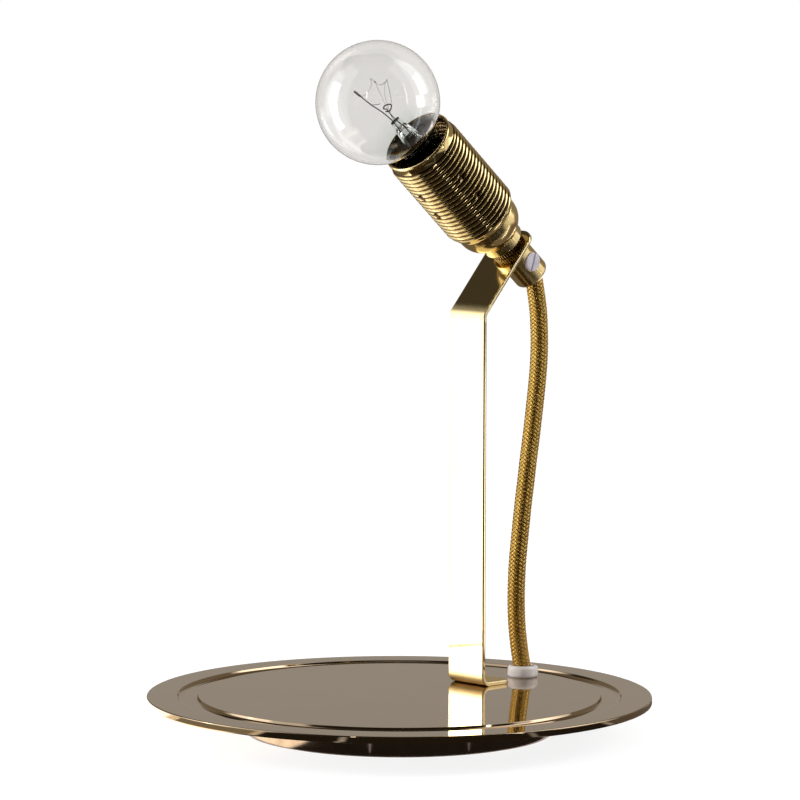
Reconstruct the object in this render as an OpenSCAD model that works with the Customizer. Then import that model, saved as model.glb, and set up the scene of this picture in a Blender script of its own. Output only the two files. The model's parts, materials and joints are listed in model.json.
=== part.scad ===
// Bare-bulb table lamp: a round brass base plate on a smaller foot, a bent strip post,
// a threaded lampholder with a clear round bulb, and a braided cord from the holder to the base.
// Origin at the centre of the underside, on the table, +Z up. The head leans towards -Y
// and the cord hangs on the +Y side. All sizes are in millimetres.

/* [Base plate] */
// Diameter of the round plate
plate_d = 180; // [176:1:210]
// Thickness of the plate
plate_t = 2.5; // [2.2:0.1:4]
// Radius on the plate's top and bottom edges
plate_edge_r = 0.4; // [0.2:0.05:0.8]
// Width of the flat rim outside the turned groove
rim_w = 8.5; // [6:0.5:11]
// Width of the turned groove, at the top
groove_w = 10.5; // [8:0.5:11]
// Depth of the groove
groove_depth = 1.1; // [0.6:0.1:1.4]
// Width of the groove's outer sloping wall
groove_outer_run = 2.2; // [1:0.1:3]
// Width of the groove's inner sloping wall
groove_inner_run = 1.2; // [0.6:0.1:2]

/* [Foot] */
// Outer diameter of the foot shell
foot_d = 109; // [107:0.5:112]
// Height of the foot shell under the plate
foot_h = 10.6; // [10.2:0.1:14]
// Gap from the table to the foot shell's lower edge
foot_lift = 0.6; // [0.3:0.1:0.9]
// Wall of the foot shell
foot_wall = 2; // [1.5:0.1:3]
// Thickness of the foot shell's top
foot_top_t = 1.5; // [1.2:0.1:2]
// Thickness of the felt pad
pad_t = 1.0; // [1:0.1:1.2]
// Thickness of the steel cover above the pad
cover_t = 1.2; // [1:0.1:1.4]
// Gap between the cover and the foot shell
cover_gap = 0.2; // [0.1:0.05:0.4]
// Gap between the four cover pillars and the foot shell's wall
pillar_gap = 2.5; // [1.8:0.1:5]
// Diameter of a cover pillar
pillar_d = 7; // [6:0.5:8]
// Thickness of the ballast plate
ballast_t = 4.6; // [3:0.1:5]
// Gap between the ballast plate and the foot shell's wall
ballast_gap = 1.2; // [0.6:0.1:1.4]
// How far the ballast plate reaches behind the centre
ballast_back = 6; // [0:1:8]

/* [Post] */
// Width of the strip
post_w = 18; // [16:0.5:24]
// Thickness of the strip
post_t = 1.5; // [1.2:0.1:2.5]
// Inner radius of both bends
post_bend_r = 2; // [1.5:0.1:3]
// Distance of the post's front face behind the plate's centre
post_y = 32.5; // [31:0.5:34]
// Height of the upper bend's corner above the plate
post_h = 134.6; // [110:1:180]
// Length of the foot tab from the post's front face
foot_tab = 13.8; // [12:0.1:15]
// Corner radius of the foot tab
foot_tab_r = 2; // [1:0.5:3]
// Angle of the upper tab above the horizontal
tab_tilt = 49; // [40:0.5:60]
// Distance from the upper bend to the nipple hole
tab_hole_up = 30.7; // [24:0.1:40]
// Distance from the nipple hole to the end of the tab
tab_end = 7.4; // [7:0.1:12]
// Corner radius of the tab's end
tab_corner_r = 5; // [1:0.5:6]

/* [Screws] */
// Thread diameter of the small screws
screw_d = 3; // [2.5:0.1:3.2]
// Head diameter of the small screws
screw_head_d = 5.4; // [5:0.1:6]
// Head height of the small screws
screw_head_h = 1.6; // [1.2:0.1:1.8]
// Distance between the two post screws
post_screw_gap = 9; // [7:0.5:10]
// Distance of the post screws behind the post's front face
post_screw_back = 8.6; // [7.5:0.1:9]
// Distance of the three plate screws from the centre
plate_screw_r = 30; // [24:1:36]
// Slot width of the small screws
screw_slot = 0.7; // [0.5:0.1:0.9]
// Length of the cover screws in their pillars
cover_screw_l = 5; // [3:0.5:6]

/* [Cord bush] */
// Distance from the cord bush's centre to the groove's inner edge
bush_in = 9.5; // [7.5:0.5:11]
// Outer diameter of the bush's flange
bush_flange_d = 11.1; // [10.5:0.1:12]
// Height of the bush's flange
bush_flange_h = 4.2; // [3:0.1:5]
// Outer diameter of the bush's sleeve
bush_sleeve_d = 8.8; // [8.6:0.1:9.2]
// Bore of the bush
bush_bore_d = 6.9; // [6.7:0.1:7.2]
// Diameter of the ring nut under the bush
bush_nut_d = 12.8; // [11.5:0.1:13.4]
// Height of the ring nut under the bush
bush_nut_h = 2.6; // [2:0.1:3]
// Outer diameter of the foot shell's boss round the bush
boss_d = 18; // [17:0.5:20]
// Wall of the boss
boss_wall = 1.8; // [1.2:0.1:2]
// Direction of the mains gland round the foot
gland_angle = 128; // [118:1:140]
// Bore of the mains gland
gland_bore_d = 6.4; // [6:0.1:6.6]
// Sleeve diameter of the mains gland
gland_sleeve_d = 7.4; // [7.2:0.1:7.8]
// Flange diameter of the mains gland
gland_flange_d = 9.4; // [8.6:0.1:9.8]

/* [Cord] */
// Diameter of the braided cord
cord_d = 6.2; // [5:0.1:6.4]
// Diameter of one insulated core
core_d = 2.1; // [1.6:0.1:2.4]

/* [Nipple, nut and cord grip] */
// Outer diameter of the threaded nipple
nipple_d = 10; // [9:0.1:10.4]
// Bore of the nipple
nipple_bore_d = 7.2; // [6.8:0.1:7.6]
// Diameter of the serrated ring nut
nut_d = 12.9; // [12:0.1:15]
// Height of the serrated ring nut
nut_h = 2.9; // [2:0.1:5]
// Number of teeth round the ring nut
nut_teeth = 48; // [30:1:60]
// Depth of the ring nut's teeth
nut_tooth = 0.35; // [0.2:0.05:0.5]
// Diameter of the cord grip
grip_d = 13.1; // [12.6:0.1:15]
// Length of the cord grip behind the tab
grip_l = 15.5; // [14:0.5:20]
// Chamfer at the cord grip's end
grip_chamfer = 1.1; // [0.5:0.1:1.5]
// Bore of the cord grip
grip_bore_d = 7; // [6.8:0.1:7.6]
// Depth of the nipple inside the cord grip
grip_thread_l = 3.7; // [3:0.1:4]
// Distance of the nylon screw behind the tab
grip_screw_back = 7; // [6.6:0.1:8]
// Head diameter of the nylon screw
grip_screw_head_d = 6.8; // [6:0.1:7.2]
// Head height of the nylon screw
grip_screw_head_h = 1.4; // [1:0.1:1.8]
// Thread diameter of the nylon screw
grip_screw_d = 5; // [4:0.1:5]
// Slot width of the nylon screw
grip_screw_slot = 0.9; // [0.6:0.1:1.2]

/* [Lampholder] */
// Diameter of the cap's neck
neck_d = 15.8; // [14:0.1:18]
// Height of the cap's neck
neck_h = 3.5; // [2:0.1:4]
// How far the domed cap stays inside the thread's crest
dome_step = 2; // [1.8:0.1:2.4]
// Radius of the dome's shoulder
shoulder_r = 8.5; // [7:0.1:9]
// Height of the cap's straight side
cap_side_h = 2.4; // [2:0.1:3]
// Thickness of the cap's floor, which holds the nipple
cap_floor_t = 5; // [4:0.1:6]
// Length of the cap's straight rim
cap_rim_h = 3; // [2.6:0.1:3.2]
// Diameter over the holder's rolled thread
shell_d = 28; // [27.6:0.1:28.4]
// Pitch of the rolled thread
thread_pitch = 2; // [1.5:0.1:3]
// Depth of the rolled thread
thread_depth = 1; // [0.6:0.1:1.1]
// Height of the plain collar between the cap and the thread
collar_h = 2; // [1.5:0.1:3]
// Turns of the rolled thread that show
thread_turns = 19; // [14:0.5:22]
// Wall of the rolled shell
shell_wall = 0.85; // [0.6:0.05:0.9]
// How far the plain band at the mouth stays inside the thread's crest
lip_step = 1.05; // [0.8:0.05:1.3]
// Height of the plain band at the mouth
lip_h = 3.1; // [2:0.1:8]
// Diameter of the rolled bead at the mouth
bead_d = 1.3; // [0.8:0.1:1.5]
// Gap between the insulating insert and the shell
insert_gap = 0.2; // [0.1:0.05:0.6]
// Wall of the insert round the terminals
insert_wall = 1.4; // [1.2:0.1:1.6]
// Height of the insert above the cap's rim
insert_h = 28.5; // [26.5:0.5:31]
// Outer diameter of the screw contact shell
contact_d = 15.4; // [15.2:0.1:16]
// Wall of the screw contact shell
contact_wall = 0.5; // [0.3:0.05:0.6]
// Length of the screw contact shell
contact_l = 19; // [15:0.5:21]
// Distance of each wire terminal from the holder's axis
terminal_x = 5.4; // [5:0.1:6]

/* [Bulb] */
// Diameter of the glass globe
globe_d = 43.8; // [40:0.1:50]
// Wall of the glass
glass_t = 0.7; // [0.5:0.05:1]
// Distance from the holder's mouth to the globe's centre
globe_up = 23; // [21:0.5:30]
// Diameter of the glass neck
neck_glass_d = 16.2; // [15.8:0.1:16.6]
// Radius of the curve from the neck to the globe
neck_curve_r = 14; // [10:0.5:18]
// Diameter of the bulb's screw cap
bulb_cap_d = 13.8; // [13:0.1:13.8]
// Length of the bulb's screw cap under its skirt
bulb_cap_l = 14.5; // [13:0.5:16]
// Diameter of the skirt on the bulb's cap
skirt_d = 17; // [16.8:0.1:17.4]
// Height of the skirt on the bulb's cap
skirt_h = 6; // [5:0.5:7]
// Length of the cap's black insulator and contact together
tip_h = 3; // [2.6:0.1:4]
// Turn of the bulb in its holder
bulb_turn = 63; // [0:1:90]
// Diameter of the lead wires
lead_d = 0.6; // [0.5:0.1:0.8]
// Diameter of the filament
filament_d = 0.3; // [0.2:0.05:0.4]

/* [Hidden] */
$fn = 72;
fit = 0.05;          // running and thread clearance
loose = 0.3;         // gap between a moving part and its neighbours

// Heights of the base, from the table up
cover_z = pad_t;
room_z = cover_z + cover_t;
foot_z = foot_lift;
plate_z = foot_z + foot_h;
foot_under = plate_z - foot_top_t;
top_z = plate_z + plate_t;
foot_r = foot_d / 2;
foot_in_r = foot_r - foot_wall;
boss_r = boss_d / 2;
boss_in_r = boss_r - boss_wall;
channel_w = boss_d - 2 * boss_wall - 3;

// Groove and bush
groove_outer_r = plate_d / 2 - rim_w;
groove_inner_r = groove_outer_r - groove_w;
bush_y = groove_inner_r - bush_in;

// Places of the screws
pillar_r = foot_in_r - pillar_gap - pillar_d / 2;
pillar_at = [for (a = [45:90:315]) pillar_r * [cos(a), sin(a)]];
plate_screw_at = [for (a = [180:90:360]) plate_screw_r * [cos(a), sin(a)]];
post_screw_at = [for (s = [-1, 1]) [s * post_screw_gap / 2, post_y + post_screw_back]];
blind = plate_t - 0.6;

// Post
bend_out = post_bend_r + post_t;
lean = 90 - tab_tilt;
bend_run = bend_out * tan(lean / 2);
post_top = top_z + post_h;
hole_y = post_y + tab_hole_up * cos(tab_tilt);
hole_z = post_top + tab_hole_up * sin(tab_tilt);

// Head, measured along the holder's axis from the tab's front face
nut_z = fit;
cap_z = nut_z + nut_h + fit;
dome_r = shell_d / 2 - dome_step;
dome_in_r = dome_r - shoulder_r;
dome_c = cap_z + neck_h + sqrt(pow(shoulder_r, 2) - pow(neck_d / 2 - dome_in_r, 2));
cap_room_z = cap_z + cap_floor_t;
rim_z = dome_c + cap_side_h;
rim_in_r = dome_r - 1.4;
step_z = rim_z - cap_rim_h;
thread_z = rim_z + collar_h;
thread_top = thread_z + thread_turns * thread_pitch;
mouth_z = thread_top + lip_h;
shell_root_r = shell_d / 2 - thread_depth;
spigot_r = rim_in_r - fit;
insert_r = spigot_r - shell_wall - insert_gap;
flange_t = 1.4;
spigot_z = step_z + flange_t;
floor_z = rim_z + 2.5;
seat_z = floor_z + 6;
insert_top = rim_z + insert_h;
contact_r = contact_d / 2;
earth_y = nipple_d / 2 + 1.6;

// Bulb, on the same axis
globe_r = globe_d / 2;
globe_z = mouth_z + globe_up;
neck_r = neck_glass_d / 2;
curve_x = neck_r + neck_curve_r;
curve_z = globe_z - sqrt(pow(globe_r + neck_curve_r, 2) - pow(curve_x, 2));
skirt_top = curve_z - 1;
skirt_z = skirt_top - skirt_h;
cap_low = skirt_z - bulb_cap_l;
tip_z = cap_low - tip_h;
join_angle = atan2(globe_z - curve_z, curve_x);
stem_top = globe_z - 10;
stem_h = stem_top - skirt_top;
lead_x = 0.15 * neck_r;
low_z = tip_z + tip_h + 1.2;

// Nylon screw, along +X through the grip's side
grip_r = grip_d / 2;
grip_screw_z = -post_t - grip_screw_back;
grip_seat_x = grip_r - 1;

// Terminal block in the foot
block_w = 25;
block_d = 14;
block_h = foot_under - room_z - 0.7;
block_y = 14;
pole_gap = 8;
pole_z = foot_under - block_h / 2 - 0.2;
core_gap = core_d + fit;
core_z = room_z + core_d / 2 + 0.8;

// Centre line of the cord inside the head: distance up the tab, distance along the axis
cord_top = cap_room_z + 2.4;
head_route = [[0, cord_top], [0, 4], [0, -4], [0, -10], [0, -13.6], [-0.2, -16.2], [-0.8, -18.6]];
cord_head = [for (p = head_route)
    [hole_y + p[0] * cos(tab_tilt) - p[1] * sin(tab_tilt),
     hole_z + p[0] * sin(tab_tilt) + p[1] * cos(tab_tilt)]];

// Hanging part between the grip and the bush: share of the way up from the bush, and
// distance behind the straight line between the two
hang_route = [[0.978, 0.9], [0.946, 2.0], [0.911, 2.9], [0.868, 3.5], [0.826, 3.8], [0.783, 3.7],
              [0.741, 3.3], [0.699, 2.7], [0.656, 2.0], [0.614, 1.3], [0.571, 0.5], [0.529, -0.3],
              [0.487, -1.0], [0.444, -1.8], [0.402, -2.5], [0.36, -3.1], [0.317, -3.7],
              [0.275, -4.2], [0.232, -4.4], [0.19, -4.4], [0.148, -4.1], [0.112, -3.6],
              [0.077, -2.8], [0.045, -1.9], [0.018, -1.0]];
cord_out = cord_head[len(cord_head) - 1];
bush_top = [bush_y, top_z + bush_flange_h - 0.8];
cord_hang = [for (p = hang_route) bush_top + p[0] * (cord_out - bush_top) + [p[1], 0]];
jacket_end = foot_under - 3.3;
cord_path = concat(cord_head, cord_hang,
    [[bush_y - 0.2, bush_top[1] - 0.9], [bush_y, bush_top[1] - 3], [bush_y, plate_z], [bush_y, jacket_end]]);

// Moves its children to the nipple hole, with +Z along the holder's axis out of the tab's front
module on_head()
    translate([0, hole_y, hole_z]) rotate([tab_tilt, 0, 0]) children();

// A round bar between two heights on an axis
module bar(r, low, high)
    translate([0, 0, low]) cylinder(r = r, h = high - low);

// A tube between two heights on an axis
module tube(r_out, r_in, low, high)
    difference() {
        bar(r_out, low, high);
        bar(r_in, low - 1, high + 1);
    }

// Sweeps a ring along points. The path never runs along the direction "side".
module sweep(path, r, sides, side) {
    n = len(path);
    dir = [for (i = [0:n - 1]) path[min(i + 1, n - 1)] - path[max(i - 1, 0)]];
    points = [for (i = [0:n - 1], k = [0:sides - 1])
        let (u = cross(side, dir[i]), v = cross(dir[i], u), a = k * 360 / sides)
        path[i] + r * (cos(a) * v / norm(v) + sin(a) * u / norm(u))];
    walls = [for (i = [0:n - 2], k = [0:sides - 1])
        let (a = i * sides + k, b = i * sides + (k + 1) % sides)
        each [[a, b, a + sides], [b, b + sides, a + sides]]];
    ends = [[for (k = [sides - 1:-1:0]) k], [for (k = [0:sides - 1]) (n - 1) * sides + k]];
    polyhedron(points, concat(walls, ends));
}

// A pan-head screw whose head lies under z = 0 and whose thread points up
module pan_screw(length) {
    translate([0, 0, -screw_head_h]) difference() {
        cylinder(d = screw_head_d, h = screw_head_h);
        translate([-screw_head_d, -screw_slot / 2, -screw_head_h])
            cube([2 * screw_head_d, screw_slot, 1.4 * screw_head_h]);
    }
    translate([0, 0, -screw_head_h / 4])
        cylinder(r = screw_d / 2 - fit, h = length + screw_head_h / 4);
}

module base_plate()
    color("#c3a468") difference() {
        translate([0, 0, plate_z]) rotate_extrude() plate_profile();
        translate([0, bush_y, 0]) bar(bush_sleeve_d / 2 + fit, plate_z - 1, top_z + 1);
        for (p = post_screw_at) translate(p) bar(screw_d / 2 + 0.2, plate_z - 1, top_z + 1);
        for (p = plate_screw_at) translate(p) bar(screw_d / 2, plate_z - 1, plate_z + blind);
    }

// Half section of the plate, with rounded edges and the turned groove in its top
module plate_profile() {
    r = plate_d / 2;
    e = plate_edge_r;
    go = groove_outer_r;
    gi = groove_inner_r;
    corner = [for (a = [0:30:90]) [r - e + e * cos(a), e * sin(a)]];
    polygon(concat(
        [[0, 0]],
        [for (i = [3:-1:0]) [corner[i][0], e - corner[i][1]]],
        [for (c = corner) [c[0], plate_t - e + c[1]]],
        [[go, plate_t], [go - groove_outer_run * 0.4, plate_t - groove_depth * 0.8],
         [go - groove_outer_run, plate_t - groove_depth],
         [gi + groove_inner_run, plate_t - groove_depth],
         [gi + groove_inner_run * 0.3, plate_t - groove_depth * 0.8],
         [gi, plate_t], [0, plate_t]]));
}

// Plan of the foot shell: a disc with a boss round the cord bush
module foot_plan(r, side, boss) {
    circle(r = r);
    translate([0, bush_y]) circle(r = boss);
    translate([-side / 2, 0]) square([side, bush_y]);
}

module foot_shell()
    color("#54402b") difference() {
        union() {
            difference() {
                translate([0, 0, foot_z]) linear_extrude(foot_h)
                    foot_plan(foot_r, boss_d, boss_r);
                translate([0, 0, foot_z - 1]) linear_extrude(foot_under - foot_z + 1)
                    foot_plan(foot_in_r, channel_w, boss_in_r);
            }
            for (p = pillar_at) translate(p) bar(pillar_d / 2, room_z, foot_under + 0.5);
        }
        for (p = pillar_at)
            translate(p) bar(screw_d / 2, room_z - cover_t, min(room_z + cover_screw_l + 1, foot_under));
        for (p = concat(plate_screw_at, post_screw_at))
            translate(p) bar(screw_d / 2 + 0.2, foot_under - 1, plate_z + 1);
        translate([0, bush_y, 0]) bar(bush_sleeve_d / 2 + fit, foot_under - 1, plate_z + 1);
        mains_hole(gland_sleeve_d / 2 + fit);
        for (x = [-1, 1] * pole_gap / 2)
            translate([x, block_y + block_d / 2, 0]) bar(screw_d / 2 - 0.3, foot_under - 1, foot_under + 1);
    }

module foot_cover()
    color("#8d8f91") difference() {
        translate([0, 0, cover_z]) linear_extrude(cover_t)
            foot_plan(foot_in_r - cover_gap, channel_w - 2 * cover_gap, boss_in_r - cover_gap);
        for (p = pillar_at) translate([p[0], p[1], cover_z]) sink(fit);
    }

// A countersunk head, as deep as the cover
module sink(gap)
    translate([0, 0, -0.01])
        cylinder(r1 = screw_d / 2 + cover_t + gap, r2 = screw_d / 2 + gap, h = cover_t + 0.02);

module felt_pad()
    color("#2c2a28") cylinder(r = foot_in_r - cover_gap - 0.3, h = pad_t);

module ballast_plate()
    color("#6f7173") translate([0, 0, room_z]) linear_extrude(ballast_t) difference() {
        intersection() {
            circle(r = foot_in_r - ballast_gap);
            translate([-foot_r, ballast_back - foot_d]) square([foot_d, foot_d]);
        }
        for (p = pillar_at) translate(p) circle(d = pillar_d + 1);
    }

module plate_screws()
    color("#b9b9b4") for (p = plate_screw_at)
        translate([p[0], p[1], foot_under]) pan_screw(foot_top_t + blind - 0.2);

module post_screws()
    color("#b9b9b4") for (p = post_screw_at)
        translate([p[0], p[1], foot_under]) pan_screw(foot_top_t + plate_t + post_t - 0.1);

module cover_screws()
    color("#b9b9b4") for (p = pillar_at)
        translate([p[0], p[1], cover_z]) difference() {
            union() {
                cylinder(r1 = screw_d / 2 + cover_t, r2 = screw_d / 2, h = cover_t);
                cylinder(r = screw_d / 2 - fit, h = cover_t + cover_screw_l);
            }
            translate([-screw_head_d, -screw_slot / 2, -cover_t])
                cube([2 * screw_head_d, screw_slot, 1.5 * cover_t]);
        }

// Both bends of the strip are ring sectors about an axis along X
module bend(y, z, from, turn)
    translate([0, y, z]) rotate([90, 0, 90]) rotate([0, 0, from])
        rotate_extrude(angle = turn)
            translate([post_bend_r, -post_w / 2]) square([post_t, post_w]);

// A strip end with two rounded corners, from y = low to y = high
module strip_end(low, high, r) {
    translate([-post_w / 2, low]) square([post_w, high - low - r]);
    translate([-post_w / 2 + r, low]) square([post_w - 2 * r, high - low]);
    for (s = [-1, 1]) translate([s * (post_w / 2 - r), high - r]) circle(r = r);
}

module strip_post()
    color("#d8bf86") difference() {
        union() {
            translate([0, 0, top_z]) linear_extrude(post_t)
                strip_end(post_y + bend_out, post_y + foot_tab, foot_tab_r);
            bend(post_y + bend_out, top_z + bend_out, 180, 90);
            translate([-post_w / 2, post_y, top_z + bend_out])
                cube([post_w, post_t, post_h - bend_out - bend_run]);
            bend(post_y + bend_out, post_top - bend_run, 180 - lean, lean);
            on_head() translate([0, 0, -post_t]) linear_extrude(post_t)
                strip_end(bend_run - tab_hole_up - 0.01, tab_end, tab_corner_r);
        }
        on_head() bar(nipple_d / 2 + 0.15, -post_t - 1, 1);
        for (p = post_screw_at) translate(p) bar(screw_d / 2, top_z - 1, top_z + post_t + 1);
    }

module cord_bush()
    color("#e6e0dc") translate([0, bush_y, 0]) difference() {
        union() {
            translate([0, 0, top_z]) rotate_extrude() bush_flange();
            bar(bush_sleeve_d / 2, foot_under - bush_nut_h - 0.4, top_z + 0.5);
        }
        bar(bush_bore_d / 2, 0, top_z + 10);
        translate([0, 0, top_z + bush_flange_h - 1.8])
            cylinder(r1 = bush_bore_d / 2, r2 = bush_bore_d / 2 + 0.8, h = 1.81);
    }

// Half section of the bush's flange, rounded at its upper edge
module bush_flange() {
    r = bush_flange_d / 2;
    square([r - 1.2, bush_flange_h]);
    translate([0, 0.5]) square([r, bush_flange_h - 1.7]);
    polygon([[0, 0], [r - 0.5, 0], [r, 0.5], [0, 0.5]]);
    translate([r - 1.2, bush_flange_h - 1.2]) circle(r = 1.2);
}

module bush_nut()
    color("#ded8d2") translate([0, bush_y, 0])
        tube(bush_nut_d / 2, bush_sleeve_d / 2 + fit, foot_under - bush_nut_h, foot_under);

// Turns its children so that +Z points out of the foot's wall at the gland
module at_gland()
    translate([0, 0, (room_z + foot_under) / 2]) rotate([0, 90, gland_angle]) children();

module mains_hole(r)
    at_gland() bar(r, foot_in_r - 2, foot_r + 1);

module mains_gland()
    color("#e6e0dc") at_gland() difference() {
        union() {
            bar(gland_sleeve_d / 2, foot_in_r - 1.2, foot_r + 1);
            bar(gland_flange_d / 2, foot_r, foot_r + 1.6);
        }
        bar(gland_bore_d / 2, foot_in_r - 5, foot_r + 5);
    }

module terminal_block()
    color("#ece9e2") difference() {
        translate([-block_w / 2, block_y, foot_under - block_h]) cube([block_w, block_d, block_h]);
        for (x = [-1, 0, 1] * pole_gap) {
            translate([x, block_y - 1, pole_z]) rotate([-90, 0, 0])
                cylinder(r = 2.1 + fit, h = block_d + 2);
            for (y = [3.5, block_d - 3.5])
                translate([x, block_y + y, 0]) bar(1.6, 0, pole_z);
        }
        for (x = [-1, 1] * pole_gap / 2)
            translate([x, block_y + block_d / 2, 0]) bar(screw_d / 2 - 0.3, 0, plate_z);
    }

module terminal_sleeves()
    color("#d9bd72") for (x = [-1, 0, 1] * pole_gap) difference() {
        translate([x, block_y + 0.5, pole_z]) rotate([-90, 0, 0])
            cylinder(r = 2.1, h = block_d - 1);
        translate([x, block_y - 1, pole_z]) rotate([-90, 0, 0])
            cylinder(r = 1.3, h = block_d + 2);
        for (y = [3.5, block_d - 3.5])
            translate([x, block_y + y, 0]) bar(1.05, 0, pole_z);
    }

module terminal_screws()
    color("#b9b9b4") {
        for (x = [-1, 0, 1] * pole_gap, y = [3.5, block_d - 3.5])
            translate([x, block_y + y, 0]) bar(1, pole_z - 2.9, pole_z - 0.9);
        for (x = [-1, 1] * pole_gap / 2)
            translate([x, block_y + block_d / 2, 0])
                bar(screw_d / 2 - 0.4, foot_under - block_h, foot_under + 0.9);
    }

// The three cores from the jacket's lower end to the block
module foot_cores()
    color("#8a5a33") for (s = [-1, 0, 1])
        sweep([[s * core_gap, bush_y, jacket_end], [s * core_gap, bush_y, jacket_end - 1],
               [s * core_gap, bush_y - 0.8, core_z + 0.3], [s * core_gap, bush_y - 2.5, core_z],
               [s * core_gap, post_y + 10, core_z], [s * pole_gap, block_y + block_d + 6, pole_z - 0.3],
               [s * pole_gap, block_y + block_d - 2, pole_z]], core_d / 2, 8, [1, 0, 0]);

module nipple()
    color("#cdb06d") on_head()
        tube(nipple_d / 2, nipple_bore_d / 2, -post_t - grip_thread_l, cap_room_z + 0.6);

module ring_nut()
    color("#b58f3f") on_head() translate([0, 0, nut_z]) difference() {
        linear_extrude(nut_h) polygon([for (i = [0:2 * nut_teeth - 1])
            (nut_d / 2 - (i % 2) * nut_tooth) * [cos(i * 180 / nut_teeth), sin(i * 180 / nut_teeth)]]);
        translate([0, 0, -1]) cylinder(r = nipple_d / 2 + fit, h = nut_h + 2);
    }

module cord_grip()
    color("#a98345") on_head() difference() {
        translate([0, 0, -post_t]) mirror([0, 0, 1]) rotate_extrude()
            polygon([[0, 0], [grip_r, 0], [grip_r, grip_l - grip_chamfer],
                     [grip_r - grip_chamfer, grip_l], [0, grip_l]]);
        bar(nipple_d / 2 + fit, -post_t - grip_thread_l - 0.1, 1);
        bar(grip_bore_d / 2, -post_t - grip_l - 1, 1);
        translate([0, 0, -post_t - grip_l - 0.01])
            cylinder(r1 = grip_bore_d / 2 + 0.8, r2 = grip_bore_d / 2, h = 3.5);
        translate([0, 0, grip_screw_z]) rotate([0, 90, 0]) {
            bar(grip_screw_d / 2 + fit, 0, grip_r + 1);
            bar(grip_screw_head_d / 2 + 0.1, grip_seat_x, grip_r + 2);
        }
    }

module grip_screw()
    color("#d9d2da") on_head() translate([0, 0, grip_screw_z]) rotate([0, 90, 0]) difference() {
        union() {
            bar(grip_screw_d / 2, cord_d / 2 + loose, grip_seat_x + 0.5);
            bar(grip_screw_head_d / 2, grip_seat_x + fit, grip_seat_x + fit + grip_screw_head_h);
        }
        rotate([0, 0, 12])
            translate([-grip_screw_slot / 2, -grip_screw_head_d, grip_seat_x + grip_screw_head_h - 0.6])
                cube([grip_screw_slot, 2 * grip_screw_head_d, 2]);
    }

// Domed cap with its neck, floor and straight rim
module holder_cap()
    color("#a5762f") on_head() difference() {
        from = -acos((neck_d / 2 - dome_in_r) / shoulder_r);
        rotate_extrude() polygon(concat(
            [[nipple_d / 2 + fit, cap_z], [neck_d / 2, cap_z]],
            [for (i = [0:12]) let (a = from * (1 - i / 12))
                [dome_in_r + shoulder_r * cos(a), dome_c + shoulder_r * sin(a)]],
            [[dome_r, rim_z], [rim_in_r, rim_z], [rim_in_r, step_z], [rim_in_r - 0.6, step_z],
             [rim_in_r - 0.6, step_z - 1.5], [rim_in_r - 2.1, cap_room_z],
             [nipple_d / 2 + fit, cap_room_z]]));
        translate([0, -earth_y, 0]) bar(1, cap_room_z - 1.6, dome_c);
    }

// Outline of one side of the rolled thread, offset by its wall for the other side
function thread_wave(shrink) = [for (i = [0:thread_turns * 5])
    [shell_root_r - shrink + thread_depth * (1 - cos(i * 72)) / 2, thread_z + i * thread_pitch / 5]];

module holder_shell()
    color("#b08a41") on_head() rotate_extrude() {
        outer = thread_wave(0);
        inner = thread_wave(shell_wall);
        lip_r = shell_d / 2 - lip_step;
        polygon(concat(
            [[spigot_r - shell_wall, spigot_z], [spigot_r, spigot_z], [spigot_r, rim_z + fit],
             [dome_r + 0.1, rim_z + fit], [dome_r + 0.5, rim_z + 0.5],
             [shell_root_r - 0.1, rim_z + 1.3]],
            [for (p = outer) if (p[1] > thread_z) p],
            [[lip_r, thread_top + 0.4], [lip_r, mouth_z - bead_d / 2],
             [lip_r - shell_wall, mouth_z - bead_d / 2], [lip_r - shell_wall, thread_top + 0.4]],
            [for (i = [len(inner) - 1:-1:0]) if (inner[i][1] > thread_z) inner[i]],
            [[shell_root_r - shell_wall, thread_z - 0.5], [spigot_r - shell_wall, rim_z + 1]]));
        translate([lip_r - shell_wall / 2, mouth_z - bead_d / 2]) circle(d = bead_d, $fn = 24);
    }

// Insulating insert, clamped by its flange between the cap's step and the shell
module holder_insert()
    color("#e9e4d8") on_head() difference() {
        union() {
            bar(spigot_r, step_z, spigot_z);
            bar(insert_r, step_z, insert_top);
        }
        bar(insert_r - insert_wall, step_z - 1, floor_z);
        bar(contact_r + fit, seat_z, insert_top + 1);
        for (s = [-1, 1]) translate([s * terminal_x, 0, 0]) bar(1.2 + fit, floor_z - 1, seat_z + 1);
    }

module screw_contact()
    color("#cfc9b8") on_head() difference() {
        bar(contact_r, seat_z, seat_z + contact_l);
        bar(contact_r - contact_wall, seat_z + 0.5, seat_z + contact_l + 1);
        bar(4.2, seat_z - 1, seat_z + 1);
        translate([-terminal_x, 0, 0]) bar(2.4, seat_z - 1, seat_z + 0.6);
        translate([terminal_x, 0, 0]) bar(1.2 + fit, seat_z - 1, seat_z + 1);
    }

// Sprung centre contact on its rivet
module centre_contact()
    color("#c99a4b") on_head() {
        translate([-terminal_x, -1.5, seat_z + 0.02]) cube([terminal_x + 1.5, 3, 0.4]);
        bar(1.5, seat_z + 0.02, tip_z - 0.02);
        translate([-terminal_x, 0, 0]) bar(1.2, floor_z - 0.4, seat_z + 0.2);
    }

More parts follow.
